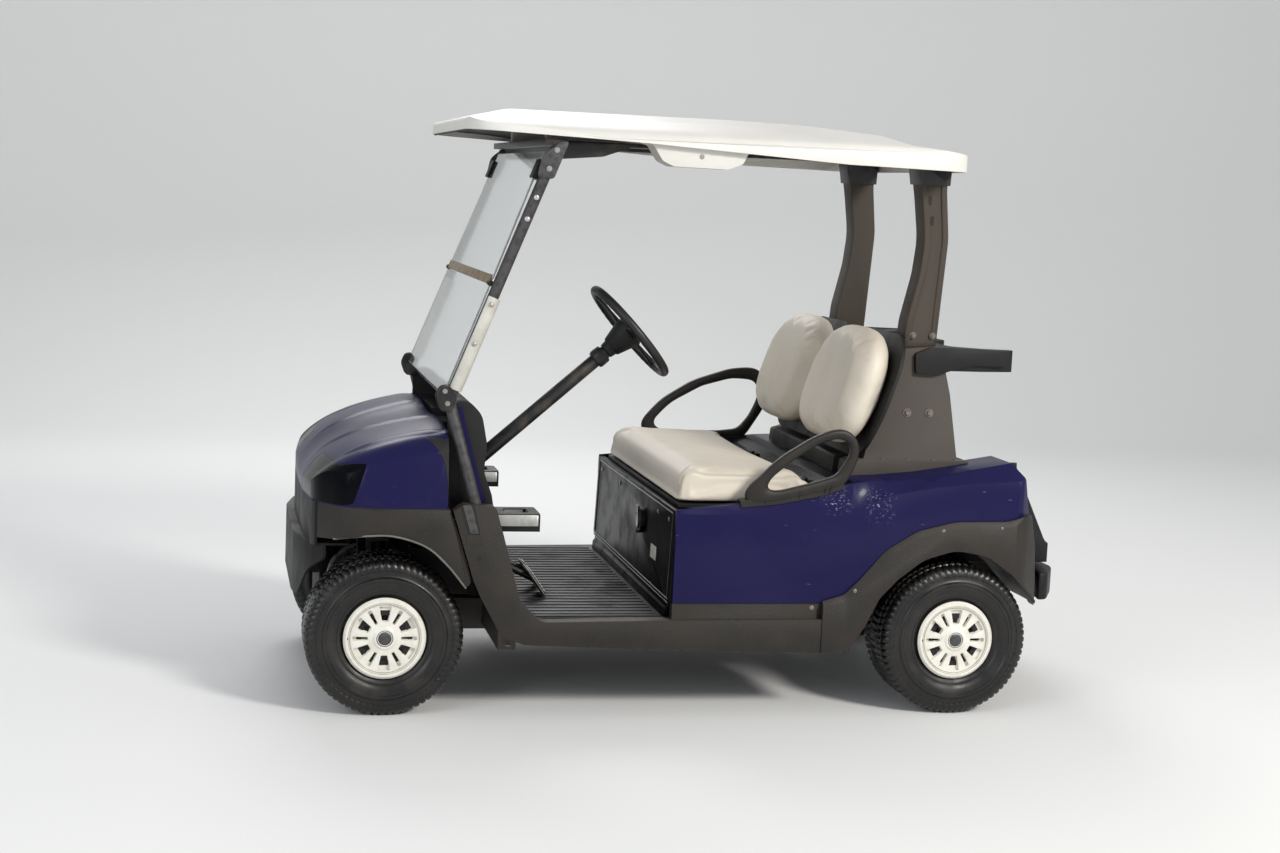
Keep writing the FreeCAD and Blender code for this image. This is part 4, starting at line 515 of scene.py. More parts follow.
# Half section of the tyre from the bead out to the middle of the tread: offset, radius, groove row
TYRE_HALF = [
    (80.0, 102.0, 0), (80.0, 115.0, 0), (84.5, 121.0, 0), (90.5, 130.0, 0), (90.5, 132.5, 0),
    (93.5, 134.5, 0), (98.0, 146.0, 0), (101.0, 157.0, 0), (101.4, 161.5, 0), (104.6, 164.5, 0),
    (105.0, 168.0, 0), (104.4, 171.5, 0), (101.0, 174.0, 0), (98.6, 177.0, 0), (97.6, 185.0, 0),
    (97.4, 191.0, 0), (99.0, 193.0, 1), (98.6, 198.0, 1), (97.2, 205.0, 1), (93.0, 212.5, 1),
    (86.5, 218.5, 1), (78.0, 221.6, 1), (67.0, 222.0, 1), (65.5, 217.0, 0), (60.0, 217.0, 0),
    (58.5, 222.0, 2), (34.0, 222.0, 2), (32.5, 217.0, 0), (27.0, 217.0, 0), (25.5, 222.0, 3),
    (0.0, 222.0, 3),
]
TREAD_BLOCKS = 68
BLOCK_STEPS = 4
GROOVE_DEPTH = 5.0
WHEELS = ["front_left", "front_right", "rear_left", "rear_right"]


def make_tyre(place):
    node = "tyre_" + place
    low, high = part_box(node)
    rows = TYRE_HALF + [(-a, b, c) for a, b, c in reversed(TYRE_HALF[:-1])]

    def wave(k, j):
        off, _, row = rows[j % len(rows)]
        if row == 0:
            return 0.0
        shift = {1: 0, 2: 2, 3: 1}[row] + (1 if off < 0 else 0)
        deep = GROOVE_DEPTH if row == 1 else GROOVE_DEPTH * 0.8
        return deep if (k + shift) % BLOCK_STEPS == 0 else 0.0
    bm = bmesh.new()
    profile = [(a, b) for a, b, c in rows]
    lathe(bm, (low + high) / 2, (0, 1, 0), profile + profile[:1], TREAD_BLOCKS * BLOCK_STEPS, wave)
    piece(node + "_tread", bm, "tyre", None, body_of(node), (node,), 40.0)


# The cover's outer face and the floor of its windows, mm from the wheel's middle; the cap's profile from there
COVER_FACE = 96.6
WINDOW_FLOOR = 81.7
COVER_CAP = [(-3.2, 0.0), (-3.2, 23.2), (-1.4, 23.2), (-0.6, 21.6), (-0.6, 18.4), (0.8, 16.8), (1.6, 12.0),
             (1.9, 0.0)]


def make_cover(place):
    node = "cover_" + place
    low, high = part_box("tyre_" + place)
    centre = (low + high) / 2
    side = 1.0 if centre.y > 0 else -1.0
    body = body_of(node)
    refined(node, 0.0010, 2, 25.0, sharp=40.0)

    def turned(name, slot, look, steps, *profiles):
        bm = bmesh.new()
        for profile in profiles:
            lathe(bm, centre, (0, side, 0), profile, steps)
        piece(name + place, bm, slot, look, body)
    turned("cover_rings_", "ivory_cover", "cover_line", 96, bead(COVER_FACE - 1.6, 97.0, 1.5, 1.2),
           bead(COVER_FACE - 1.6, 101.5, 1.5, 1.2))
    turned("cover_cap_", "charcoal_mould", "cap_dark", 48, [(COVER_FACE + off, rad) for off, rad in COVER_CAP])
    turned("cover_cap_ring_", "ivory_cover", None, 48, bead(COVER_FACE - 0.6, 20.0, 0.9, 1.1))
    bm = bmesh.new()
    stem = centre + V((0.098, side * 0.074, 0.0))
    tube(bm, [stem, stem + V((0.004, side * 0.012, 0)), stem + V((0.006, side * 0.022, 0))], 0.0035)
    piece("valve_" + place, bm, "tyre", None, body)
    # Painted shade: a dark slab on the floor of each sunk window, darkening its inner half
    bm = bmesh.new()
    middle = V((centre.x, centre.y + side * WINDOW_FLOOR / 1000.0, centre.z))
    for k in range(12):
        a = math.radians(30.0 * k)
        inner, outer = (12.0, 14.6) if k % 2 == 0 else (4.2, 4.8)
        out, across = V((math.sin(a), 0, math.cos(a))), V((math.cos(a), 0, -math.sin(a)))
        corners = ((64.0, -inner), (64.0, inner), (78.0, outer * 0.9), (78.0, -outer * 0.9))
        loop = [out * far + across * aside for far, aside in corners]
        slab(bm, [middle + p / 1000.0 for p in loop], (0, side * 0.0006, 0))
    piece("cover_window_shade_" + place, bm, "black_mould", "groove_and_shade", body)


def make_wheels():
    for place in WHEELS:
        make_tyre(place)
        make_cover(place)
        refined("rim_" + place, 0.0008, 1)


# Seat

# Distance a point may go past the solid's box: low and high corner
ROOM = (V((-0.010, -0.008, 0.0)), V((0.012, 0.008, 0.012)))
SEAM_DEPTH, SEAM_WIDTH = 0.0026, 0.0060
CLOTH = {
    "quality": 5, "mass": 0.3, "tension_stiffness": 12.0, "compression_stiffness": 12.0,
    "bending_stiffness": 0.6, "use_pressure": True, "uniform_pressure_force": 4.0, "vertex_group_mass": "held",
}


def modified(obj, kind=None, **settings):
    """Give the object a modifier, if one is named, and bake all it has into its mesh."""
    if kind:
        made = obj.modifiers.new(kind.lower(), kind)
        for key, value in settings.items():
            setattr(made, key, value)
    graph = bpy.context.evaluated_depsgraph_get()
    graph.update()
    mesh = bpy.data.meshes.new_from_object(obj.evaluated_get(graph))
    obj.modifiers.clear()
    obj.data = mesh
    return mesh


def swell(obj, cap):
    """Blow the skin up as cloth; no point moves further than the cap."""
    start = [v.co.copy() for v in obj.data.vertices]
    cloth = obj.modifiers.new("cloth", "CLOTH")
    for key, value in CLOTH.items():
        setattr(cloth.settings, key, value)
    cloth.settings.effector_weights.gravity = 0.0
    cloth.collision_settings.use_self_collision = False
    for frame_no in range(1, 21):
        bpy.context.scene.frame_set(frame_no)
    mesh = modified(obj)
    bpy.context.scene.frame_set(1)
    for v, home in zip(mesh.vertices, start):
        move = v.co - home
        if move.length > cap:
            v.co = home + move.normalized() * cap
    modified(obj, "SMOOTH", factor=0.5, iterations=5)


def stuffed(name, node, voxel, shrink, cap, seams, rounds, form=None):
    """Cushion swollen as cloth from a smaller, rounder copy of its solid, then creased at its seams."""
    low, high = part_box(node)
    mesh = nodes[node].data.copy()
    mesh.materials.clear()
    obj = bpy.data.objects.new(name, mesh)
    bpy.context.scene.collection.objects.link(obj)
    modified(obj, "WELD", merge_threshold=0.00005)
    mesh = modified(obj, "REMESH", mode="VOXEL", voxel_size=voxel * 1.0)
    if form:
        rounded = form(mesh)
        for v in mesh.vertices:
            v.co = rounded(v.co)
    mesh = modified(obj, "SMOOTH", factor=0.5, iterations=rounds)
    for v, n in zip(mesh.vertices, [v.normal.copy() for v in mesh.vertices]):
        v.co -= n * shrink
    held = [v.index for v in mesh.vertices if v.co.z < low.z + 0.012]
    obj.vertex_groups.new(name="held").add(held, 1.0, "REPLACE")
    swell(obj, cap)
    mesh = modified(obj, "SUBSURF", levels=1, render_levels=1)
    for v, n in zip(mesh.vertices, [v.normal.copy() for v in mesh.vertices]):
        d = seams(v.co) / SEAM_WIDTH
        if d < 3.0:
            v.co -= n * SEAM_DEPTH * math.exp(-d * d)
        for k in range(3):
            v.co[k] = min(max(v.co[k], low[k] + ROOM[0][k]), high[k] + ROOM[1][k])
    for face in mesh.polygons:
        face.use_smooth = True
    mesh.materials.clear()
    mesh.materials.append(MATS[SLOTS[node]])
    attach(obj, body_of(node))
    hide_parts(node)
    return obj


CUSHION_SIDE_SEAM = 0.486
CUSHION_BACK_SEAM = -0.300


def cushion_seams(p):
    """Distance to the nearest seam of the seat: along each side and across the back."""
    if p.z < 0.625:
        return 1.0
    side = abs(abs(p.y) - CUSHION_SIDE_SEAM) if p.x > CUSHION_BACK_SEAM - 0.002 else 1.0
    back = abs(p.x - CUSHION_BACK_SEAM) if abs(p.y) < CUSHION_SIDE_SEAM and p.z > 0.66 else 1.0
    return min(side, back)


BACK_LEAN = math.radians(19.0)
BACK_FOOT = V((-0.380, 0.0, 0.776))


def upright(p):
    """A point of the leaning seat back in the pad's own upright axes: depth, y, height."""
    d = p - BACK_FOOT
    c, s = math.cos(BACK_LEAN), math.sin(BACK_LEAN)
    return V((d.x * c + d.z * s, p.y, -d.x * s + d.z * c))


def leaning(q):
    c, s = math.cos(BACK_LEAN), math.sin(BACK_LEAN)
    return BACK_FOOT + V((q.x * c - q.z * s, q.y, q.x * s + q.z * c))


def pad_seams(p):
    """Distance to the seam near the pad's rear edge."""
    return abs(upright(p).x + 0.092)


PAD_MIDDLE_Y = 0.2560
PAD_HALF_Y = 0.2500
PAD_MIDDLE_HIGH = 0.193
PAD_HALF_HIGH = 0.192
PAD_CORNER = 3.4
PAD_TOP_CORNER = 2.8
PAD_CROWN = 3.2
PAD_TAPER = 0.06


def pad_form(mesh):
    """Egg-like form of a pad: its skin is drawn in along rays from its middle, narrower toward the top."""
    depths = sorted(upright(v.co).x for v in mesh.vertices)
    rear, face = depths[0], depths[int(len(depths) * 0.97)]
    middle_x, half_x = (rear + face) * 0.5, (face - rear) * 0.5

    def rounded(p):
        q = upright(p)
        middle = math.copysign(PAD_MIDDLE_Y, q.y)
        t = (q.x - middle_x) / half_x
        u = (q.y - middle) / PAD_HALF_Y
        v = (q.z - PAD_MIDDLE_HIGH) / PAD_HALF_HIGH
        power = PAD_TOP_CORNER if v > 0.0 else PAD_CORNER
        flat = (abs(u) ** power + abs(v) ** power) ** (1.0 / power)
        reach = (flat ** PAD_CROWN + abs(t) ** PAD_CROWN) ** (1.0 / PAD_CROWN)
        t, u, v = t / reach, u / reach, v / reach
        u *= 1.0 - PAD_TAPER * max(v, 0.0) ** 2
        high = PAD_MIDDLE_HIGH + v * PAD_HALF_HIGH
        return leaning(V((middle_x + t * half_x, middle + u * PAD_HALF_Y, high)))

    return rounded


def make_seat():
    cushion = stuffed("seat_cushion_soft", "seat_cushion", 0.0074, 0.005, 0.014, cushion_seams, 24)
    for side in ("left", "right"):
        pad = stuffed("back_pad_" + side + "_soft", "seat_back_" + side, 0.0065, 0.004, 0.010, pad_seams, 26,
                      pad_form)
    refined("seat_board", 0.0015)
    refined("seat_back_shell", 0.0025, 3)


# Armrest loops: outer outline and hole in side view, mm. The two sides are bent differently.
ARMREST_LEFT = [(-68, 634), (-80, 618), (-201, 628), (-331, 655), (-400, 677), (-435, 754), (-435, 800),
                (-405, 836), (-360, 839), (-295, 815), (-194, 750), (-96, 648)]
ARMREST_LEFT_HOLE = [(-151, 669), (-169, 653), (-303, 684), (-372, 706), (-410, 766), (-408, 798), (-374, 812),
                     (-322, 799), (-246, 751)]
ARMREST_RIGHT = [(-21, 691), (-60, 672), (-200, 660), (-403, 663), (-480, 786), (-470, 880), (-440, 909),
                 (-349, 904), (-217, 861), (-108, 793)]
ARMREST_RIGHT_HOLE = [(-61, 692), (-200, 690), (-308, 689), (-381, 698), (-420, 744), (-450, 812), (-440, 864),
                      (-351, 869), (-249, 841), (-139, 779)]
FOOT_LEFT = [(-92, 610), (-88, 630), (-201, 642), (-331, 668), (-392, 688), (-396, 668), (-331, 646),
             (-201, 620)]
FOOT_RIGHT = [(-72, 613), (-66, 678), (-200, 668), (-395, 671), (-400, 662), (-331, 646), (-201, 620)]
ARMREST_SEAMS = [(-165, 620, -160, 640), (-262, 637, -262, 664), (-336, 653, -340, 680), (-350, 655, -356, 684)]
ARMREST_Y = 573.5
ARMREST_HALF_T = 13.5


def ray_hit(loop, centre, angle):
    """Distance from the centre to the outline in a direction."""
    run = V((math.cos(angle), math.sin(angle)))
    best = 0.0
    for i in range(len(loop)):
        a, b = loop[i - 1] - centre, loop[i] - centre
        edge = b - a
        cross = run.x * edge.y - run.y * edge.x
        if abs(cross) < 1e-9:
            continue
        t = (a.x * edge.y - a.y * edge.x) / cross
        u = (a.x * run.y - a.y * run.x) / cross
        if t > 0 and -0.0001 <= u <= 1.0001:
            best = max(best, t)
    return best


def armrest(bm, outline, hole, middle, side):
    """Rounded loop between an outline and its hole."""
    outer = rounded_loop(outline, 26.0, 6)
    inner = rounded_loop(hole, 16.0, 6)
    centre = V(middle)
    around, across, reach = 200, 20, 4
    ins = [ray_hit(inner, centre, a) for a in turns(around)]
    outs = [ray_hit(outer, centre, a) for a in turns(around)]
    rings = []
    for i, a in enumerate(turns(around)):
        near = [(i + k) % around for k in range(-reach, reach + 1)]
        r_in, r_out = sum(ins[k] for k in near) / len(near), sum(outs[k] for k in near) / len(near)
        ring = []
        for t in turns(across):
            c, s = math.cos(t), math.sin(t)
            c = math.copysign(abs(c) ** 0.7, c)
            s = math.copysign(abs(s) ** 0.7, s)
            r = (r_in + r_out) / 2 + c * (r_out - r_in) / 2
            ring.append(mm(centre.x + math.cos(a) * r, side * (ARMREST_Y + s * ARMREST_HALF_T),
                           centre.y + math.sin(a) * r))
        rings.append(ring)
    closed_loft(bm, rings)


def make_armrests():
    shapes = {"left": (ARMREST_LEFT, ARMREST_LEFT_HOLE, (-325, 748), FOOT_LEFT),
              "right": (ARMREST_RIGHT, ARMREST_RIGHT_HOLE, (-300, 770), FOOT_RIGHT)}
    for side, name in SIDES:
        outline, hole, middle, foot = shapes[name]
        bm = bmesh.new()
        armrest(bm, outline, hole, middle, side)
        piece("armrest_loop_" + name, bm, "black_mould", "armrest", replaces=("armrests",), sharp=60.0)
        bm = bmesh.new()
        side_slab(bm, foot, side * 550.0, 34.0)
        soften(bm, 0.003, 3)
        piece("armrest_foot_" + name, bm, "black_mould", "armrest")
    bm = bmesh.new()
    for x0, z0, x1, z1 in ARMREST_SEAMS:
        tube(bm, [mm(x0, 587.0, z0), mm(x1, 587.2, (z0 + z1) / 2), mm(x1, 586.4, z1)], 0.0008, 6)
    piece("armrest_left_seams", bm, "black_mould", "groove_and_shade")


# Front body: half width of its skins by x, places along x, and lines in side view (mm)

FENDER_Y = [(600, 587.0), (742, 586.0), (900, 583.5), (960, 573.0), (1000, 562.0), (1040, 543.0), (1080, 506.0),
            (1100, 470.0)]
HOOD_FOOT_Y = [(742, 574.0), (870, 582.0), (985, 566.0), (1040, 543.0), (1080, 506.0)]
HOOD_FOOT_X = (744, 800, 870, 940, 1000)
ARCH_LIP = [(1050, 500), (960, 518), (885, 519), (800, 491), (740, 440), (687, 376)]
FOOT_SEAM = [(687, 394), (700, 450), (716, 520), (738, 592)]


def skin_y(tree, x, z, side, rows):
    """Half width (mm) of a skin at an x and z (mm), met from one side, or the table's where it isn't met."""
    hit = tree.ray_cast(mm(x, side * 2000.0, z), V((0.0, -side, 0.0)))[0]
    return abs(hit.y) * 1000.0 if hit is not None and hit.y * side > 0.0 else between(rows, x)


def make_front():
    refined("hood_cowl", 0.0012, 2, 35.0, sharp=50.0)
    refined("headlights", 0.0008, 2, 40.0, sharp=50.0)
    refined("front_bumper", 0.0040, 3, sharp=40.0)
    refined("front_fenders", 0.0012, 2, 35.0, sharp=45.0)
    fender, hood = skin_of("front_fenders"), skin_of("hood_cowl")
    for side, name in SIDES:
        # Lip along the arch on the fender's outer edge, seam to the rocker's foot, and trim line under the lamp
        lip = [mm(x, side * skin_y(fender, x, z + 5.0, side, FENDER_Y), z) for x, z in ARCH_LIP]
        seam = [mm(x - 1, side * 585.5, z) for x, z in FOOT_SEAM]
        line = [mm(x, side * (skin_y(hood, x, 598.0, side, HOOD_FOOT_Y) + 0.4), 594.5) for x in HOOD_FOOT_X]
        for kind, path, steps, radius, sides, slot, look in (
                ("arch_lip_front_", lip, 8, 0.0030, 8, "charcoal_mould", "lip"),
                ("foot_seam_", seam, 6, 0.0018, 6, "black_mould", "groove_and_shade"),
                ("hood_line_", line, 6, 0.0022, 6, "black_mould", "groove_and_shade")):
            bm = bmesh.new()
            tube(bm, smooth_path(path, steps), radius, sides)
            piece(kind + name, bm, slot, look)


CUP_X = 530.0
CUP_RADIUS = 42.5


def make_dash():
    refined("dash_panel", 0.0020, 3, 32.0, sharp=40.0)
    refined("floor_pan", 0.0020)
    refined("kick_panel", 0.0018, 2, 32.0, "kick_black")
    refined("pedals", 0.0015)
    # Cup trays: a pale shell over each tray with a dark rim in its well
    for side, name in SIDES:
        x, y, half, low, high = CUP_X, side * 420.0, 63.0, 534.0, 566.4
        outer = rounded_loop(block(467.0, 600.0, y - half, y + half), 12.0, 5)
        angles = [math.atan2(p.y - y, p.x - x) for p in outer]
        hole = [V((x + CUP_RADIUS * math.cos(a), y + CUP_RADIUS * math.sin(a))) for a in angles]

        def toward(t):
            return [p.lerp(h, t) for p, h in zip(outer, hole)]

        def lay(rings):
            loft(bm, [[mm(p.x, p.y, z) for p in loop] for loop, z in rings], False)
        bm = bmesh.new()
        lay([(outer, low), (outer, high - 2.0), (toward(0.05), high), (toward(0.9), high), (hole, high - 1.0),
             (hole, high - 14.0)])
        piece("cup_tray_" + name, bm, "galvanised", "silver", sharp=50.0)
        bm = bmesh.new()
        lathe(bm, mm(x, y, high), (0, 0, 1), bead(1.0, CUP_RADIUS + 1.0, 1.8, 2.2), 48)
        plate, inner = toward(0.03), toward(0.98)
        low, high = high + 0.2, high + 2.4
        lay([(plate, low), (plate, high), (inner, high), (inner, low), (plate, low)])
        merge(bm)
        piece("cup_rim_" + name, bm, "black_mould")
    # Bolted bracket below the left tray
    bm = bmesh.new()
    side_slab(bm, [(596, 516), (612, 516), (624, 440), (606, 396), (590, 396), (594, 440)], 372.0, 86.0)
    soften(bm, 0.003)
    piece("toe_bracket", bm, "black_mould")
    bm = bmesh.new()
    for x, z in ((603, 500), (606, 470), (604, 440), (598, 412)):
        bolt(bm, (x - 11, 392, z), (-1, 0, 0), 12)
        bolt(bm, (x - 11, 436, z - 6), (-1, 0, 0), 12)
    piece("toe_bolts", bm, "galvanised", "zinc")
    # Bright edge along the pedal pads, and their ribs
    bm = bmesh.new()
    tilt = math.radians(-55)
    for y, width in ((250.0, 90.0), (130.0, 60.0)):
        def at(u, v, w):
            """A point on a pad: u along it, v across it, w above it."""
            du, dw = u - 475.0, w - 5.0
            x = du * math.cos(tilt) + dw * math.sin(tilt) + 475.0 - 35.0
            z = -du * math.sin(tilt) + dw * math.cos(tilt) + 5.0 + 328.0
            return mm(x, y + v, z)
        half = width / 2
        for k in range(7):
            u = 438.0 + k * 12.3
            tube(bm, [at(u, -half + 6, 10.2), at(u, half - 6, 10.2)], 0.0022, 8)
        tube(bm, [at(431, -half, 5), at(519, -half, 5), at(519, half, 5), at(431, half, 5)], 0.0020, 8, True)
    piece("pedal_ribs", bm, "galvanised", "zinc")


MAT_RIBS = 26
MAT_RIB_HALF = 0.006


def make_floor_mat():
    """Ribbed rubber mat on the floor pan between the rockers."""
    bm = bmesh.new()
    x0, x1, z, half = 0.118, 0.545, 0.2862, 0.540
    slab(bm, [(x, y, z) for x, y in block(x0, x1, -half, half)], (0, 0, 0.0022))
    for k in range(MAT_RIBS):
        y = -half + 0.025 + k * (2 * half - 0.05) / (MAT_RIBS - 1)
        section = ((-1.0, 0.002), (-0.6, 0.0046), (0.6, 0.0046), (1.0, 0.002))
        loop = [(x0 + 0.012, y + MAT_RIB_HALF * share, z + rise) for share, rise in section]
        slab(bm, loop, (x1 - x0 - 0.024, 0, 0))
    piece("floor_mat", bm, "black_mat")


# Front face of the wall under the seat, as height and x (mm)
KICK_FACE = [(316.0, 106.4), (596.0, 96.4)]
SOCKET = V((0.110, 0.160, 0.500))
SOCKET_BEZEL = [(-1.0, 39.0), (2.5, 39.0), (4.0, 37.0), (4.0, 29.0), (2.0, 27.5), (-3.0, 27.5)]
SOCKET_CAP = [(1.0, 0.0), (1.0, 26.5), (4.5, 26.5), (6.5, 24.0), (7.5, 14.0), (7.8, 0.0)]


def on_kick(y, z):
    """A point on the wall under the seat, at a y and z in mm."""
    return mm(between(KICK_FACE, z), y, z)


def make_kick():
    """Socket with its hinged cap, a blank plate, beads and screws on the wall under the seat."""
    bm = bmesh.new()
    lathe(bm, SOCKET, (1, 0, 0), SOCKET_BEZEL, 48)
    piece("socket_bezel", bm, "black_mould")
    bm = bmesh.new()
    lathe(bm, SOCKET, (1, 0, 0), SOCKET_CAP, 40)
    slab(bm, [mm(112.5, y, z) for y, z in ((146, 524), (174, 524), (171, 543), (149, 543))], (0.006, 0, 0))
    tube(bm, [mm(116, 144, 543), mm(116, 176, 543)], 0.0032)
    slab(bm, [mm(117, 150, 470), mm(117, 170, 470), mm(115, 168, 462), mm(115, 152, 462)], (0.004, 0, 0))
    soften(bm, 0.0008, 2, 40.0)
    piece("socket_cap", bm, "black_mould", "gloss_black")
    bm = bmesh.new()
    low, high = between(KICK_FACE, 430.0), between(KICK_FACE, 455.0)
    slab(bm, [mm(low, 300, 415), mm(low, 372, 415), mm(high, 372, 455), mm(high, 300, 455)], (0.0012, 0, 0))
    piece("blank_plate", bm, "pale_sleeve")
    bm = bmesh.new()
    for y0, z0, y1, z1 in ((-560, 330, 560, 330), (-560, 340, 560, 340), (-545, 345, -545, 585),
                           (545, 345, 545, 585), (-545, 585, 545, 585)):
        tube(bm, [on_kick(y0, z0), on_kick(y1, z1)], 0.0020, 8)
    piece("kick_beads", bm, "black_mould", "gloss_black")
    bm = bmesh.new()
    for y in (-500, -200, 360, 500):
        dome(bm, on_kick(y, 560) * 1000, (1, 0, 0), 7.0, 3.0)
    piece("kick_screws", bm, "galvanised", "zinc")


STEERING_MIDDLE = V((0.195, 0.300, 1.082))
COLUMN_FOOT = V((0.640, 0.300, 0.687))
STEERING_RADIUS = 156
# Spoke sections: distance out, half width, low and high (mm)
SPOKE = [(30, 24, -14, 0), (70, 17, -9, 1), (110, 13, -7, 1), (150, 15, -6, 2)]
# Profiles about the column: offset and radius
HUB = [(-91.0, 0), (-91.0, 23), (-74, 25), (-70, 30), (-16, 45), (-8, 47), (0, 47), (3.0, 44), (3.6, 40),
       (3.6, 0)]
COLLAR = [(-34.0, 20.5), (-34.0, 25.0), (-28.0, 28.0), (-4.0, 28.0), (0.0, 26.0), (0.0, 20.5)]


def make_steering():
    """Rim with grip bumps, three spokes, a deep hub and a blank cap."""
    refined("steering_column", 0.0020)
    axis = (STEERING_MIDDLE - COLUMN_FOOT).normalized()
    turn = V((0, 0, 1)).rotation_difference(axis).to_matrix().to_4x4()
    place = Matrix.Translation(STEERING_MIDDLE) @ turn
    bm = bmesh.new()
    rings = []
    for a in turns(160):
        grip = 12.6 + (0.7 * (0.5 + 0.5 * math.cos(a * 40)) if abs(math.sin(a * 1.5)) > 0.35 else 0.0)
        ring = []
        for t in turns(20):
            r = 12.8 if math.cos(t) > 0.2 or math.sin(t) > 0.5 else grip
            out = STEERING_RADIUS + r * math.cos(t)
            ring.append(mm(out * math.cos(a), out * math.sin(a), r * math.sin(t)))
        rings.append(ring)
    closed_loft(bm, rings)
    bmesh.ops.transform(bm, matrix=place, verts=bm.verts)
    piece("steering_rim_grip", bm, SLOTS["steering_wheel"], "grip", "steering_wheel", ("steering_wheel",), 60.0)
    bm = bmesh.new()
    for angle in (90, 210, 330):
        a = math.radians(angle)
        out, side = V((math.cos(a), math.sin(a), 0)), V((-math.sin(a), math.cos(a), 0))
        loops = []
        for dist, half, low, high in SPOKE:
            mid = out * dist
            loops.append([(mid + side * u + V((0, 0, w))) / 1000.0 for u, w in (
                (-half, (low + high) / 2), (-half * 0.8, high - 1), (0, high), (half * 0.8, high - 1),
                (half, (low + high) / 2), (half * 0.7, low), (-half * 0.7, low))])
        loft(bm, loops)
    lathe(bm, (0, 0, 0), (0, 0, 1), HUB, 48)
    bmesh.ops.transform(bm, matrix=place, verts=bm.verts)
    piece("steering_hub", bm, SLOTS["steering_wheel"], None, "steering_wheel", sharp=40.0)
    bm = bmesh.new()
    cap = rounded_loop(block(-30, 30, -24, 24), 10.0, 5)
    sizes = ((1.0, 2.0), (1.0, 5.0), (0.94, 6.6), (0.5, 7.2))
    loft(bm, [[mm(p.x * f, p.y * f, z) for p in cap] for f, z in sizes])
    tube(bm, [mm(-24, -30, 5), mm(24, -30, 5)], 0.003, 8)
    bmesh.ops.transform(bm, matrix=place, verts=bm.verts)
    piece("steering_cap", bm, SLOTS["steering_wheel"], "gloss_black", "steering_wheel")
    bm = bmesh.new()
    lathe(bm, STEERING_MIDDLE - axis * 0.099, axis, COLLAR, 32)
    piece("column_collar", bm, "black_steel")


# Struts, windshield and canopy

STRUT_TOP = V((0.466, 0.505, 1.598))
STRUT_KNEE = V((0.742, 0.509, 0.892))
STRUT_RUN = (V((STRUT_KNEE.x, 0, STRUT_KNEE.z)) - V((STRUT_TOP.x, 0, STRUT_TOP.z))).normalized()
STRUT_AHEAD = V((-STRUT_RUN.z, 0, STRUT_RUN.x))


def on_strut(z, side, out=0.0, ahead=0.0):
    """A point of the strut's upper run at a height (m), moved outward and ahead (mm)."""
    share = (z - STRUT_TOP.z) / (STRUT_KNEE.z - STRUT_TOP.z)
    p = STRUT_TOP.lerp(STRUT_KNEE, share)
    p = V((p.x, p.y + out / 1000.0, p.z)) + STRUT_AHEAD * ahead / 1000.0
    return V((p.x, side * p.y, p.z))


def make_struts():
    refined("front_struts", 0.0012, 2, 40.0)
    refined("strut_sleeves", 0.0010, 2, 40.0)
    refined("windshield_clips", 0.0020, 3)
    refined("windshield_strip", 0.0010)
    for side, name in SIDES:
        bm = bmesh.new()
        for z in (1.46, 1.40):
            dome(bm, on_strut(z, side, 15.5) * 1000, (0, side, 0), 8.0, 5.0)
        for x, z in ((468, 1592), (488, 1540)):
            bolt(bm, (x, side * 525.0, z), (0, side, 0), 10)
        piece("strut_rivets_" + name, bm, "galvanised", "bright")
        # Knee bracket: two cheeks on the strut with bolts, where the pane's lower corner sits
        bm = bmesh.new()
        cheek = [(766, 862), (780, 900), (768, 930), (744, 934), (722, 905), (732, 862)]
        side_slab(bm, cheek, side * 526.0, 5.0, 10.0)
        side_slab(bm, cheek, side * 487.0, 5.0, 10.0)
        soften(bm, 0.0012)
        piece("knee_bracket_" + name, bm, "black_steel")
        bm = bmesh.new()
        for x, z in ((756, 918), (748, 884)):
            bolt(bm, (x, side * 531.0, z), (0, side, 0), 9)
        for z in (1.05, 1.16):
            dome(bm, on_strut(z, side, 22.0) * 1000, (0, side, 0), 7.0, 3.5)
        piece("knee_bolts_" + name, bm, "galvanised", "zinc")
        # Small hinge at the fold of the panes
        bm = bmesh.new()
        p = on_strut(1.211, side, -18.0, 20.0)
        tube(bm, [p - V((0, side * 0.020, 0)), p + V((0, side * 0.016, 0))], 0.008, 14)
        piece("fold_knob_" + name, bm, "black_mould")
    # Edge band round each pane, so that its thickness shows
    for shade in ("lower", "upper"):
        pane = from_node("windshield_" + shade, 1)
        bm = bmesh.new()
        for face in sorted(pane.faces, key=lambda f: -f.calc_area())[2:]:
            long_edges = sorted(face.edges, key=lambda e: -e.calc_length())[:2]
            (a0, a1), (b0, b1) = [[v.co for v in e.verts] for e in long_edges]
            if (a0 - b0).length > (a0 - b1).length:
                b0, b1 = b1, b0
            tube(bm, [(a0 + b0) / 2, (a1 + b1) / 2], 0.0022, 8)
        pane.free()
        piece("pane_edge_" + shade, bm, "clear_pane", "pane_edge")


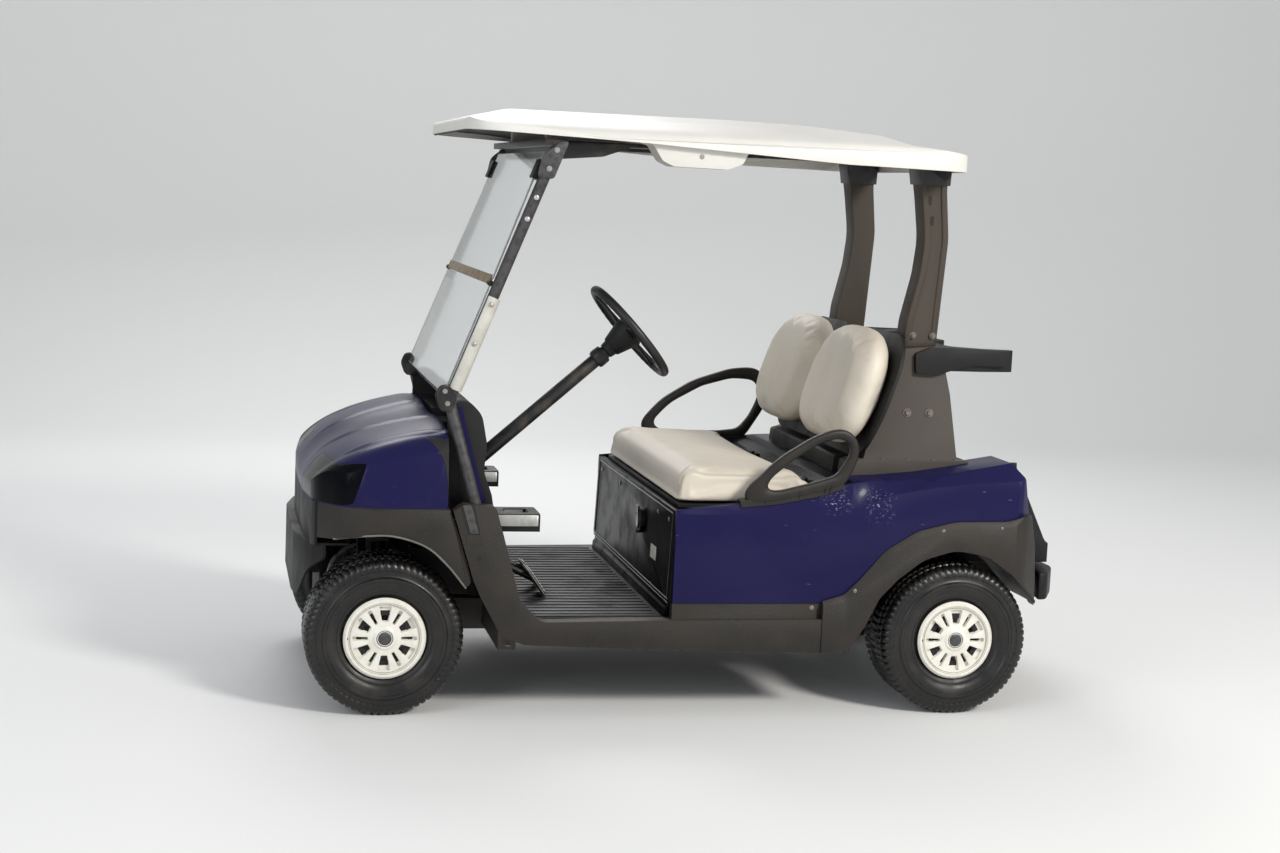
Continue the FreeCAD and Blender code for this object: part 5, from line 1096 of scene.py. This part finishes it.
def make_canopy():
    refined("roof", 0.0018, 2, 35.0, sharp=45.0)
    refined("roof_bracket", 0.0020, 2)
    refined("rear_posts", 0.0030, 3, 35.0, "post")
    refined("post_panels", 0.0030, 3, 35.0)
    refined("bag_rack", 0.0060, 3, 35.0)
    # Painted shadow: a dark strip under the nose
    bm = bmesh.new()
    nose = [mm(x, y, 1640) for x, y in ((700, -440), (706, -250), (706, 0), (706, 250), (700, 440))]
    tube(bm, smooth_path(nose, 6), 0.0035, 8)
    piece("roof_nose_shadow_strip", bm, "black_mould", "groove_and_shade")
    # Small grey plug in the front of the left handle rail and in the rear of the right one
    bm = bmesh.new()
    for x, y, z in ((60, 536, 1592), (-500, -536, 1605)):
        lathe(bm, mm(x, y, z), (0, y, 0), [(-1.0, 0.0), (-1.0, 7.0), (1.0, 7.0), (1.8, 5.5), (1.8, 0.0)], 24)
    piece("handle_plugs", bm, "pale_sleeve", "grey_plug")
    # Bolts of the towers and the posts
    bm = bmesh.new()
    for side in (1, -1):
        for x in (-631, -700):
            bolt(bm, (x, side * 418.2, 873), (0, side, 0), 17)
        for x in (-560, -640, -720, -790):
            dome(bm, (x, side * 424.0, 733.2), (0, 0, 1), 6.0, 3.0)
        for x in (-650, -712):
            bolt(bm, (x, side * 376.2, 1100), (0, side, 0), 13)
    piece("tower_bolts", bm, "galvanised", "dusty_bolt")
    # Keyhole slot near the top of each post, seen as a dark sunk mark
    bm = bmesh.new()
    for side in (1, -1):
        for x, z in ((-680, 1500), (-690, 1440)):
            side_slab(bm, block(x - 5, x + 5, z - 14, z + 14), side * 371.3, 0.6, 5.0)
    piece("post_slots", bm, "black_mould", "groove_and_shade")


# Rear body, rockers and fenders

APRON = [(668, 345), (690, 300), (760, 300), (800, 350), (815, 434), (692, 434), (668, 400)]


def make_body():
    refined("rear_body", 0.0010, 2, 40.0, "deck_blue", 32.0)
    refined("rockers", 0.0018, 2, 35.0, sharp=40.0)
    refined("rear_fenders", 0.0025, 3, 38.0, sharp=50.0)
    refined("bag_well", 0.0020)
    refined("rear_bumper", 0.0080, 3)
    refined("battery_block", 0.0060, 3)
    for side, name in SIDES:
        bm = bmesh.new()
        # Raised blank plate and a dimple on the rocker's foot, and the joint with the rear fender
        side_slab(bm, [(648, 500), (688, 500), (694, 528), (654, 528)], side * 596.5, 2.2, 5.0)
        soften(bm, 0.0008)
        piece("foot_plate_" + name, bm, "charcoal_mould")
        bm = bmesh.new()
        lathe(bm, mm(655, side * 597, 462), (0, side, 0), [(0.3, 0.0), (0.3, 4.5), (0.9, 5.2), (0.0, 6.4)], 24)
        side_slab(bm, block(-345.5, -347.5, 192, 330), side * 596.0, 1.2)
        piece("rocker_marks_" + name, bm, "black_mould", "groove_and_shade")
        bm = bmesh.new()
        dome(bm, (-318, side * 579.2, 318), (0, side, 0), 8.0, 3.5)
        for x, z in ((-440, 372), (-700, 548), (-880, 556)):
            dome(bm, (x, side * 597.5, z), (0, side, 0), 6.5, 2.6)
        for x in (560, 100, -300):
            bolt(bm, (x, side * 560.0, 200 + (x + 300) * 0.012), (0, 0, -1), 12)
        piece("side_screws_" + name, bm, "black_mould", "dusty_bolt")
        # Strut's dark slot in the rocker's foot
        bm = bmesh.new()
        side_slab(bm, [(652, 526), (688, 526), (712, 611), (672, 611)], side * 597.2, 0.6, 9.0, 5)
        piece("foot_slot_" + name, bm, "black_mould", "groove_and_shade")
        bm = bmesh.new()
        side_slab(bm, [(658, 532), (681, 532), (705, 611), (680, 611)], side * 597.4, 2.2, 6.0)
        soften(bm, 0.0008)
        piece("strut_foot_" + name, bm, "galvanised")
    # Inner apron of each front wheel house, hanging from the liner's inner edge
    for side, name in SIDES:
        bm = bmesh.new()
        side_slab(bm, APRON, side * 238.0, 3.0, 20.0)
        side_slab(bm, block(692, 815, 431, 434), side * 238.0, 54.0)
        piece("wheel_apron_" + name, bm, "black_mould")
    # Ribs on the floor of the bag well and two stops on the rear bumper
    bm = bmesh.new()
    for k in range(9):
        y = -320 + k * 80
        tube(bm, [mm(-1105, y, 430.2), mm(-842, y, 430.2)], 0.0035, 8)
    piece("well_ribs", bm, SLOTS["bag_well"])
    bm = bmesh.new()
    for y in (-0.30, 0.30):
        loop = rounded_loop(block(y - 0.05, y + 0.05, 0.330, 0.390), 0.012, 5)
        slab(bm, [V((-1.1485, p.x, p.y)) for p in loop], (-0.005, 0, 0))
    soften(bm, 0.0015)
    piece("bumper_stops", bm, "black_mould")


def make_batteries():
    """Lids, caps, posts and links on the battery block."""
    low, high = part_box("battery_block")
    top = high.z
    bm, caps, links = bmesh.new(), bmesh.new(), bmesh.new()
    dx, dy = (high.x - low.x) / 2, (high.y - low.y) / 3
    posts = []
    for i in range(2):
        for j in range(3):
            cx, cy = low.x + dx * (i + 0.5), low.y + dy * (j + 0.5)
            hx, hy = dx / 2 - 0.006, dy / 2 - 0.006
            loop = rounded_loop(block(cx - hx, cx + hx, cy - hy, cy + hy), 0.01, 4)
            slab(bm, [V((p.x, p.y, top - 0.001)) for p in loop], (0, 0, 0.007))
            for k in range(4):
                lathe(caps, V((cx + 0.02, cy - hy + 0.05 + k * (2 * hy - 0.1) / 3, top + 0.006)), (0, 0, 1),
                      [(0.0, 0.0), (0.0, 15.0), (7.0, 14.0), (9.0, 11.0), (9.0, 0.0)], 20)
            for sy in (-1, 1):
                p = V((cx - hx + 0.028, cy + sy * (hy - 0.035), top + 0.006))
                lathe(links, p, (0, 0, 1), [(0.0, 0.0), (0.0, 9.0), (14.0, 8.0), (14.0, 0.0)], 16)
                posts.append(p + V((0, 0, 0.012)))
    soften(bm, 0.002)
    piece("battery_lids", bm, "battery_case")
    piece("battery_caps", caps, "battery_case", "gloss_black")
    piece("battery_posts", links, "galvanised", "zinc")
    bars = bmesh.new()
    for a, b, rise, steps in ((1, 2, 12, 6), (3, 4, 12, 6), (7, 8, 12, 6), (9, 10, 12, 6), (5, 11, 14, 8)):
        mid = (posts[a] + posts[b]) / 2 + mm(0, 0, rise)
        tube(bars, smooth_path([posts[a], mid, posts[b]], steps), 0.005, 8)
    piece("battery_links", bars, "black_mould")


def make_underside():
    for node in ("chassis_frame", "front_suspension", "rear_suspension", "tie_rod", "knuckle_left",
                 "knuckle_right", "rear_axle", "drive_motor"):
        refined(node, 0.0015, 2, 35.0)
    # Coil springs round the front dampers
    for side, name in SIDES:
        low, high = V((0.902, side * 0.262, 0.280)), V((0.902, side * 0.226, 0.440))
        run = high - low
        u = run.orthogonal().normalized()
        v = run.normalized().cross(u)
        path = []
        steps = 20
        last = int(6.5 * steps)
        for k in range(last + 1):
            a = 2 * math.pi * k / steps
            path.append(low + run * (0.10 + 0.78 * k / last) + (u * math.cos(a) + v * math.sin(a)) * 0.030)
        bm = bmesh.new()
        tube(bm, path, 0.0045, 8)
        piece("front_spring_" + name, bm, "black_steel")
        bm = bmesh.new()
        y = side * 260
        for x in (-792, -732):
            path = [(x, y - 30, 248), (x, y - 30, 272), (x, y + 30, 272), (x, y + 30, 248)]
            tube(bm, [mm(*p) for p in path], 0.004, 8)
        piece("spring_clamps_" + name, bm, "galvanised", "dusty_bolt")
    bm = bmesh.new()
    for k in range(9):
        y = 140.0 + k * 9.0
        ring = [(0.0, 78.0), (0.0, 82.0), (3.0, 82.0), (3.0, 78.0), (0.0, 78.0)]
        lathe(bm, mm(-702, y, 230), (0, 1, 0), ring, 40)
    piece("motor_fins", bm, "motor_metal")
    bm = bmesh.new()
    for a in turns(8):
        bolt(bm, (-762 + 96 * math.cos(a), -30.2, 222 + 96 * math.sin(a)), (0, -1, 0), 11)
    piece("axle_bolts", bm, "galvanised", "dusty_bolt")


# Ridges along the hood from nose to windshield: x from and to, y from and to (m), height (mm)
HOOD_RIDGES = [(1.085, 0.760, 0.140, 0.215, 5.0), (1.020, 0.755, 0.430, 0.478, 5.0)]
# Section across a ridge: offset across and height, as shares of its reach and height
RIDGE_SECTION = [(-1.0, -0.25), (-0.45, 0.55), (-0.12, 1.0), (0.10, 0.95), (0.30, 0.35), (0.55, 0.0),
                 (0.7, -0.25)]
RIDGE_REACH = 0.046
# Painted shade of the recess behind the hood's side panel, as a dark sheet on the skin, in side view (mm), and
# the blue strip behind the strut
HOOD_RECESS_SHADE = [(742.0, 640.0), (748.0, 700.0), (762.0, 742.0), (782.0, 768.0), (806.0, 786.0)]
RECESS_SHADE_FRONT = 742.5
STRUT_STRIP = [(726, 872), (704, 872), (630, 606), (648, 606)]


def make_hood_sides():
    tree = skin_of("hood_cowl")
    for side, name in SIDES:
        # Painted shade: a dark sheet laid on the hood's skin where the recess behind its side panel is
        rings = []
        for p in smooth_path([(x, 0, z) for x, z in HOOD_RECESS_SHADE], 6):
            row = []
            for x in (RECESS_SHADE_FRONT, (RECESS_SHADE_FRONT + p.x) / 2, p.x + 0.6):
                hit = tree.ray_cast(mm(x, side * 2000, p.z), V((0, -side, 0)))[0]
                if hit is None:
                    break
                row.append(hit + V((0, side * 0.0010, 0)))
            if len(row) == 3:
                low = [q - V((0, side * 0.0018, 0)) for q in reversed(row)]
                rings.append(row + low)
        bm = bmesh.new()
        loft(bm, rings)
        piece("hood_recess_shade_" + name, bm, "black_mould", "groove_and_shade")
        bm = bmesh.new()
        side_slab(bm, STRUT_STRIP, side * 500.5, 2.5)
        soften(bm, 0.0008)
        piece("strut_strip_" + name, bm, "blue_body")


def make_hood_ridges():
    tree = skin_of("hood_cowl")
    steps = 40
    for number, (x0, x1, y0, y1, rise) in enumerate(HOOD_RIDGES):
        for side, name in SIDES:
            rings = []
            for i in range(steps + 1):
                t = i / steps
                x, y = x0 + (x1 - x0) * t, y0 + (y1 - y0) * t ** 0.8
                swell = math.sin(math.pi * min(t * 1.6 + 0.04, 0.5)) * min((1.0 - t) * 8.0 + 0.15, 1.0)
                ring = []
                for off, high in RIDGE_SECTION:
                    at_y = y + off * RIDGE_REACH * (0.5 + 0.5 * swell)
                    hit = tree.ray_cast(V((x, side * at_y, 2.0)), V((0, 0, -1)))[0]
                    if hit is None:
                        break
                    lift = high * rise * swell / 1000.0 + min(high, 0.0) * 0.002
                    ring.append(V((x, side * at_y, hit.z + lift)))
                if len(ring) == len(RIDGE_SECTION):
                    low = [p - V((0, 0, 0.0015)) for p in reversed(ring)]
                    rings.append(ring + low)
            bm = bmesh.new()
            loft(bm, rings)
            piece("hood_ridge_%d_%s" % (number + 1, name), bm, "blue_body", sharp=60.0)


for make in (make_wheels, make_seat, make_armrests, make_front, make_hood_ridges, make_hood_sides, make_dash,
             make_floor_mat, make_kick, make_steering, make_struts, make_canopy, make_body, make_batteries,
             make_underside):
    make()


# Camera, floor and light

CAM_PLACE = V((1.405, 6.008, 1.491))
CAM_YAW = math.radians(12.39)
CAM_PITCH = math.radians(6.72)
CAM_ROLL = math.radians(-2.55)
SENSOR = 36.0
CAM_LENS = 1999.8 / 1280 * SENSOR


def make_camera():
    look = V((-math.sin(CAM_YAW) * math.cos(CAM_PITCH), -math.cos(CAM_YAW) * math.cos(CAM_PITCH),
              -math.sin(CAM_PITCH)))
    right = V((-math.cos(CAM_YAW), math.sin(CAM_YAW), 0.0))
    down = look.cross(right)
    right_r = math.cos(CAM_ROLL) * right + math.sin(CAM_ROLL) * down
    down_r = -math.sin(CAM_ROLL) * right + math.cos(CAM_ROLL) * down
    turn = Matrix((right_r, -down_r, -look)).transposed()
    data = bpy.data.cameras.new("camera")
    data.lens = CAM_LENS
    data.sensor_width = SENSOR
    data.sensor_fit = "HORIZONTAL"
    data.clip_end = 100.0
    cam = bpy.data.objects.new("camera", data)
    cam.matrix_world = Matrix.Translation(CAM_PLACE) @ turn.to_4x4()
    bpy.context.scene.collection.objects.link(cam)
    bpy.context.scene.camera = cam


def make_floor():
    """Floor that rises into a backdrop behind the cart, in one smooth sheet."""
    rows = [(14.0, 0.0), (-5.5, 0.0)]
    for k in range(1, 13):
        a = math.radians(90.0 * k / 12)
        rows.append((-5.5 - 2.5 * math.sin(a), 2.5 - 2.5 * math.cos(a)))
    rows.append((-8.0, 12.0))
    verts = []
    for y, z in rows:
        verts += [(-16.0, y, z), (16.0, y, z)]
    faces = [(2 * i, 2 * i + 2, 2 * i + 3, 2 * i + 1) for i in range(len(rows) - 1)]
    mesh = bpy.data.meshes.new("floor")
    mesh.from_pydata(verts, [], faces)
    for face in mesh.polygons:
        face.use_smooth = True
    floor = bpy.data.objects.new("floor", mesh)
    bpy.context.scene.collection.objects.link(floor)
    m = Mat("floor", (0.80, 0.80, 0.79, 1.0), 0.9, specular=0.2)
    mesh.materials.append(m.mat)


def lamp(name, place, aim, size, watts, colour=(1.0, 1.0, 1.0)):
    data = bpy.data.lights.new(name, "AREA")
    data.shape = "DISK"
    data.size = size
    data.energy = watts
    data.color = colour
    thing = bpy.data.objects.new(name, data)
    thing.location = place
    thing.visible_camera = False
    thing.rotation_euler = (V(aim) - V(place)).to_track_quat("-Z", "Y").to_euler()
    bpy.context.scene.collection.objects.link(thing)


def make_light():
    lamp("key", (-3.6, 6.0, 4.6), (-0.1, 0.0, 0.7), 1.6, 450.0, (1.0, 0.97, 0.92))
    lamp("fill", (5.2, 4.6, 3.2), (0.2, 0.0, 0.7), 3.5, 110.0, (0.94, 0.97, 1.0))
    lamp("back", (0.5, -5.0, 4.6), (0.0, 0.0, 0.8), 3.5, 150.0)
    world = bpy.data.worlds.new("world")
    world.use_nodes = True
    sky = world.node_tree.nodes["Background"]
    sky.inputs["Color"].default_value = (0.92, 0.95, 1.0, 1.0)
    sky.inputs["Strength"].default_value = 0.50
    bpy.context.scene.world = world


bpy.context.scene.view_settings.view_transform = "Standard"
make_camera()
make_floor()
make_light()
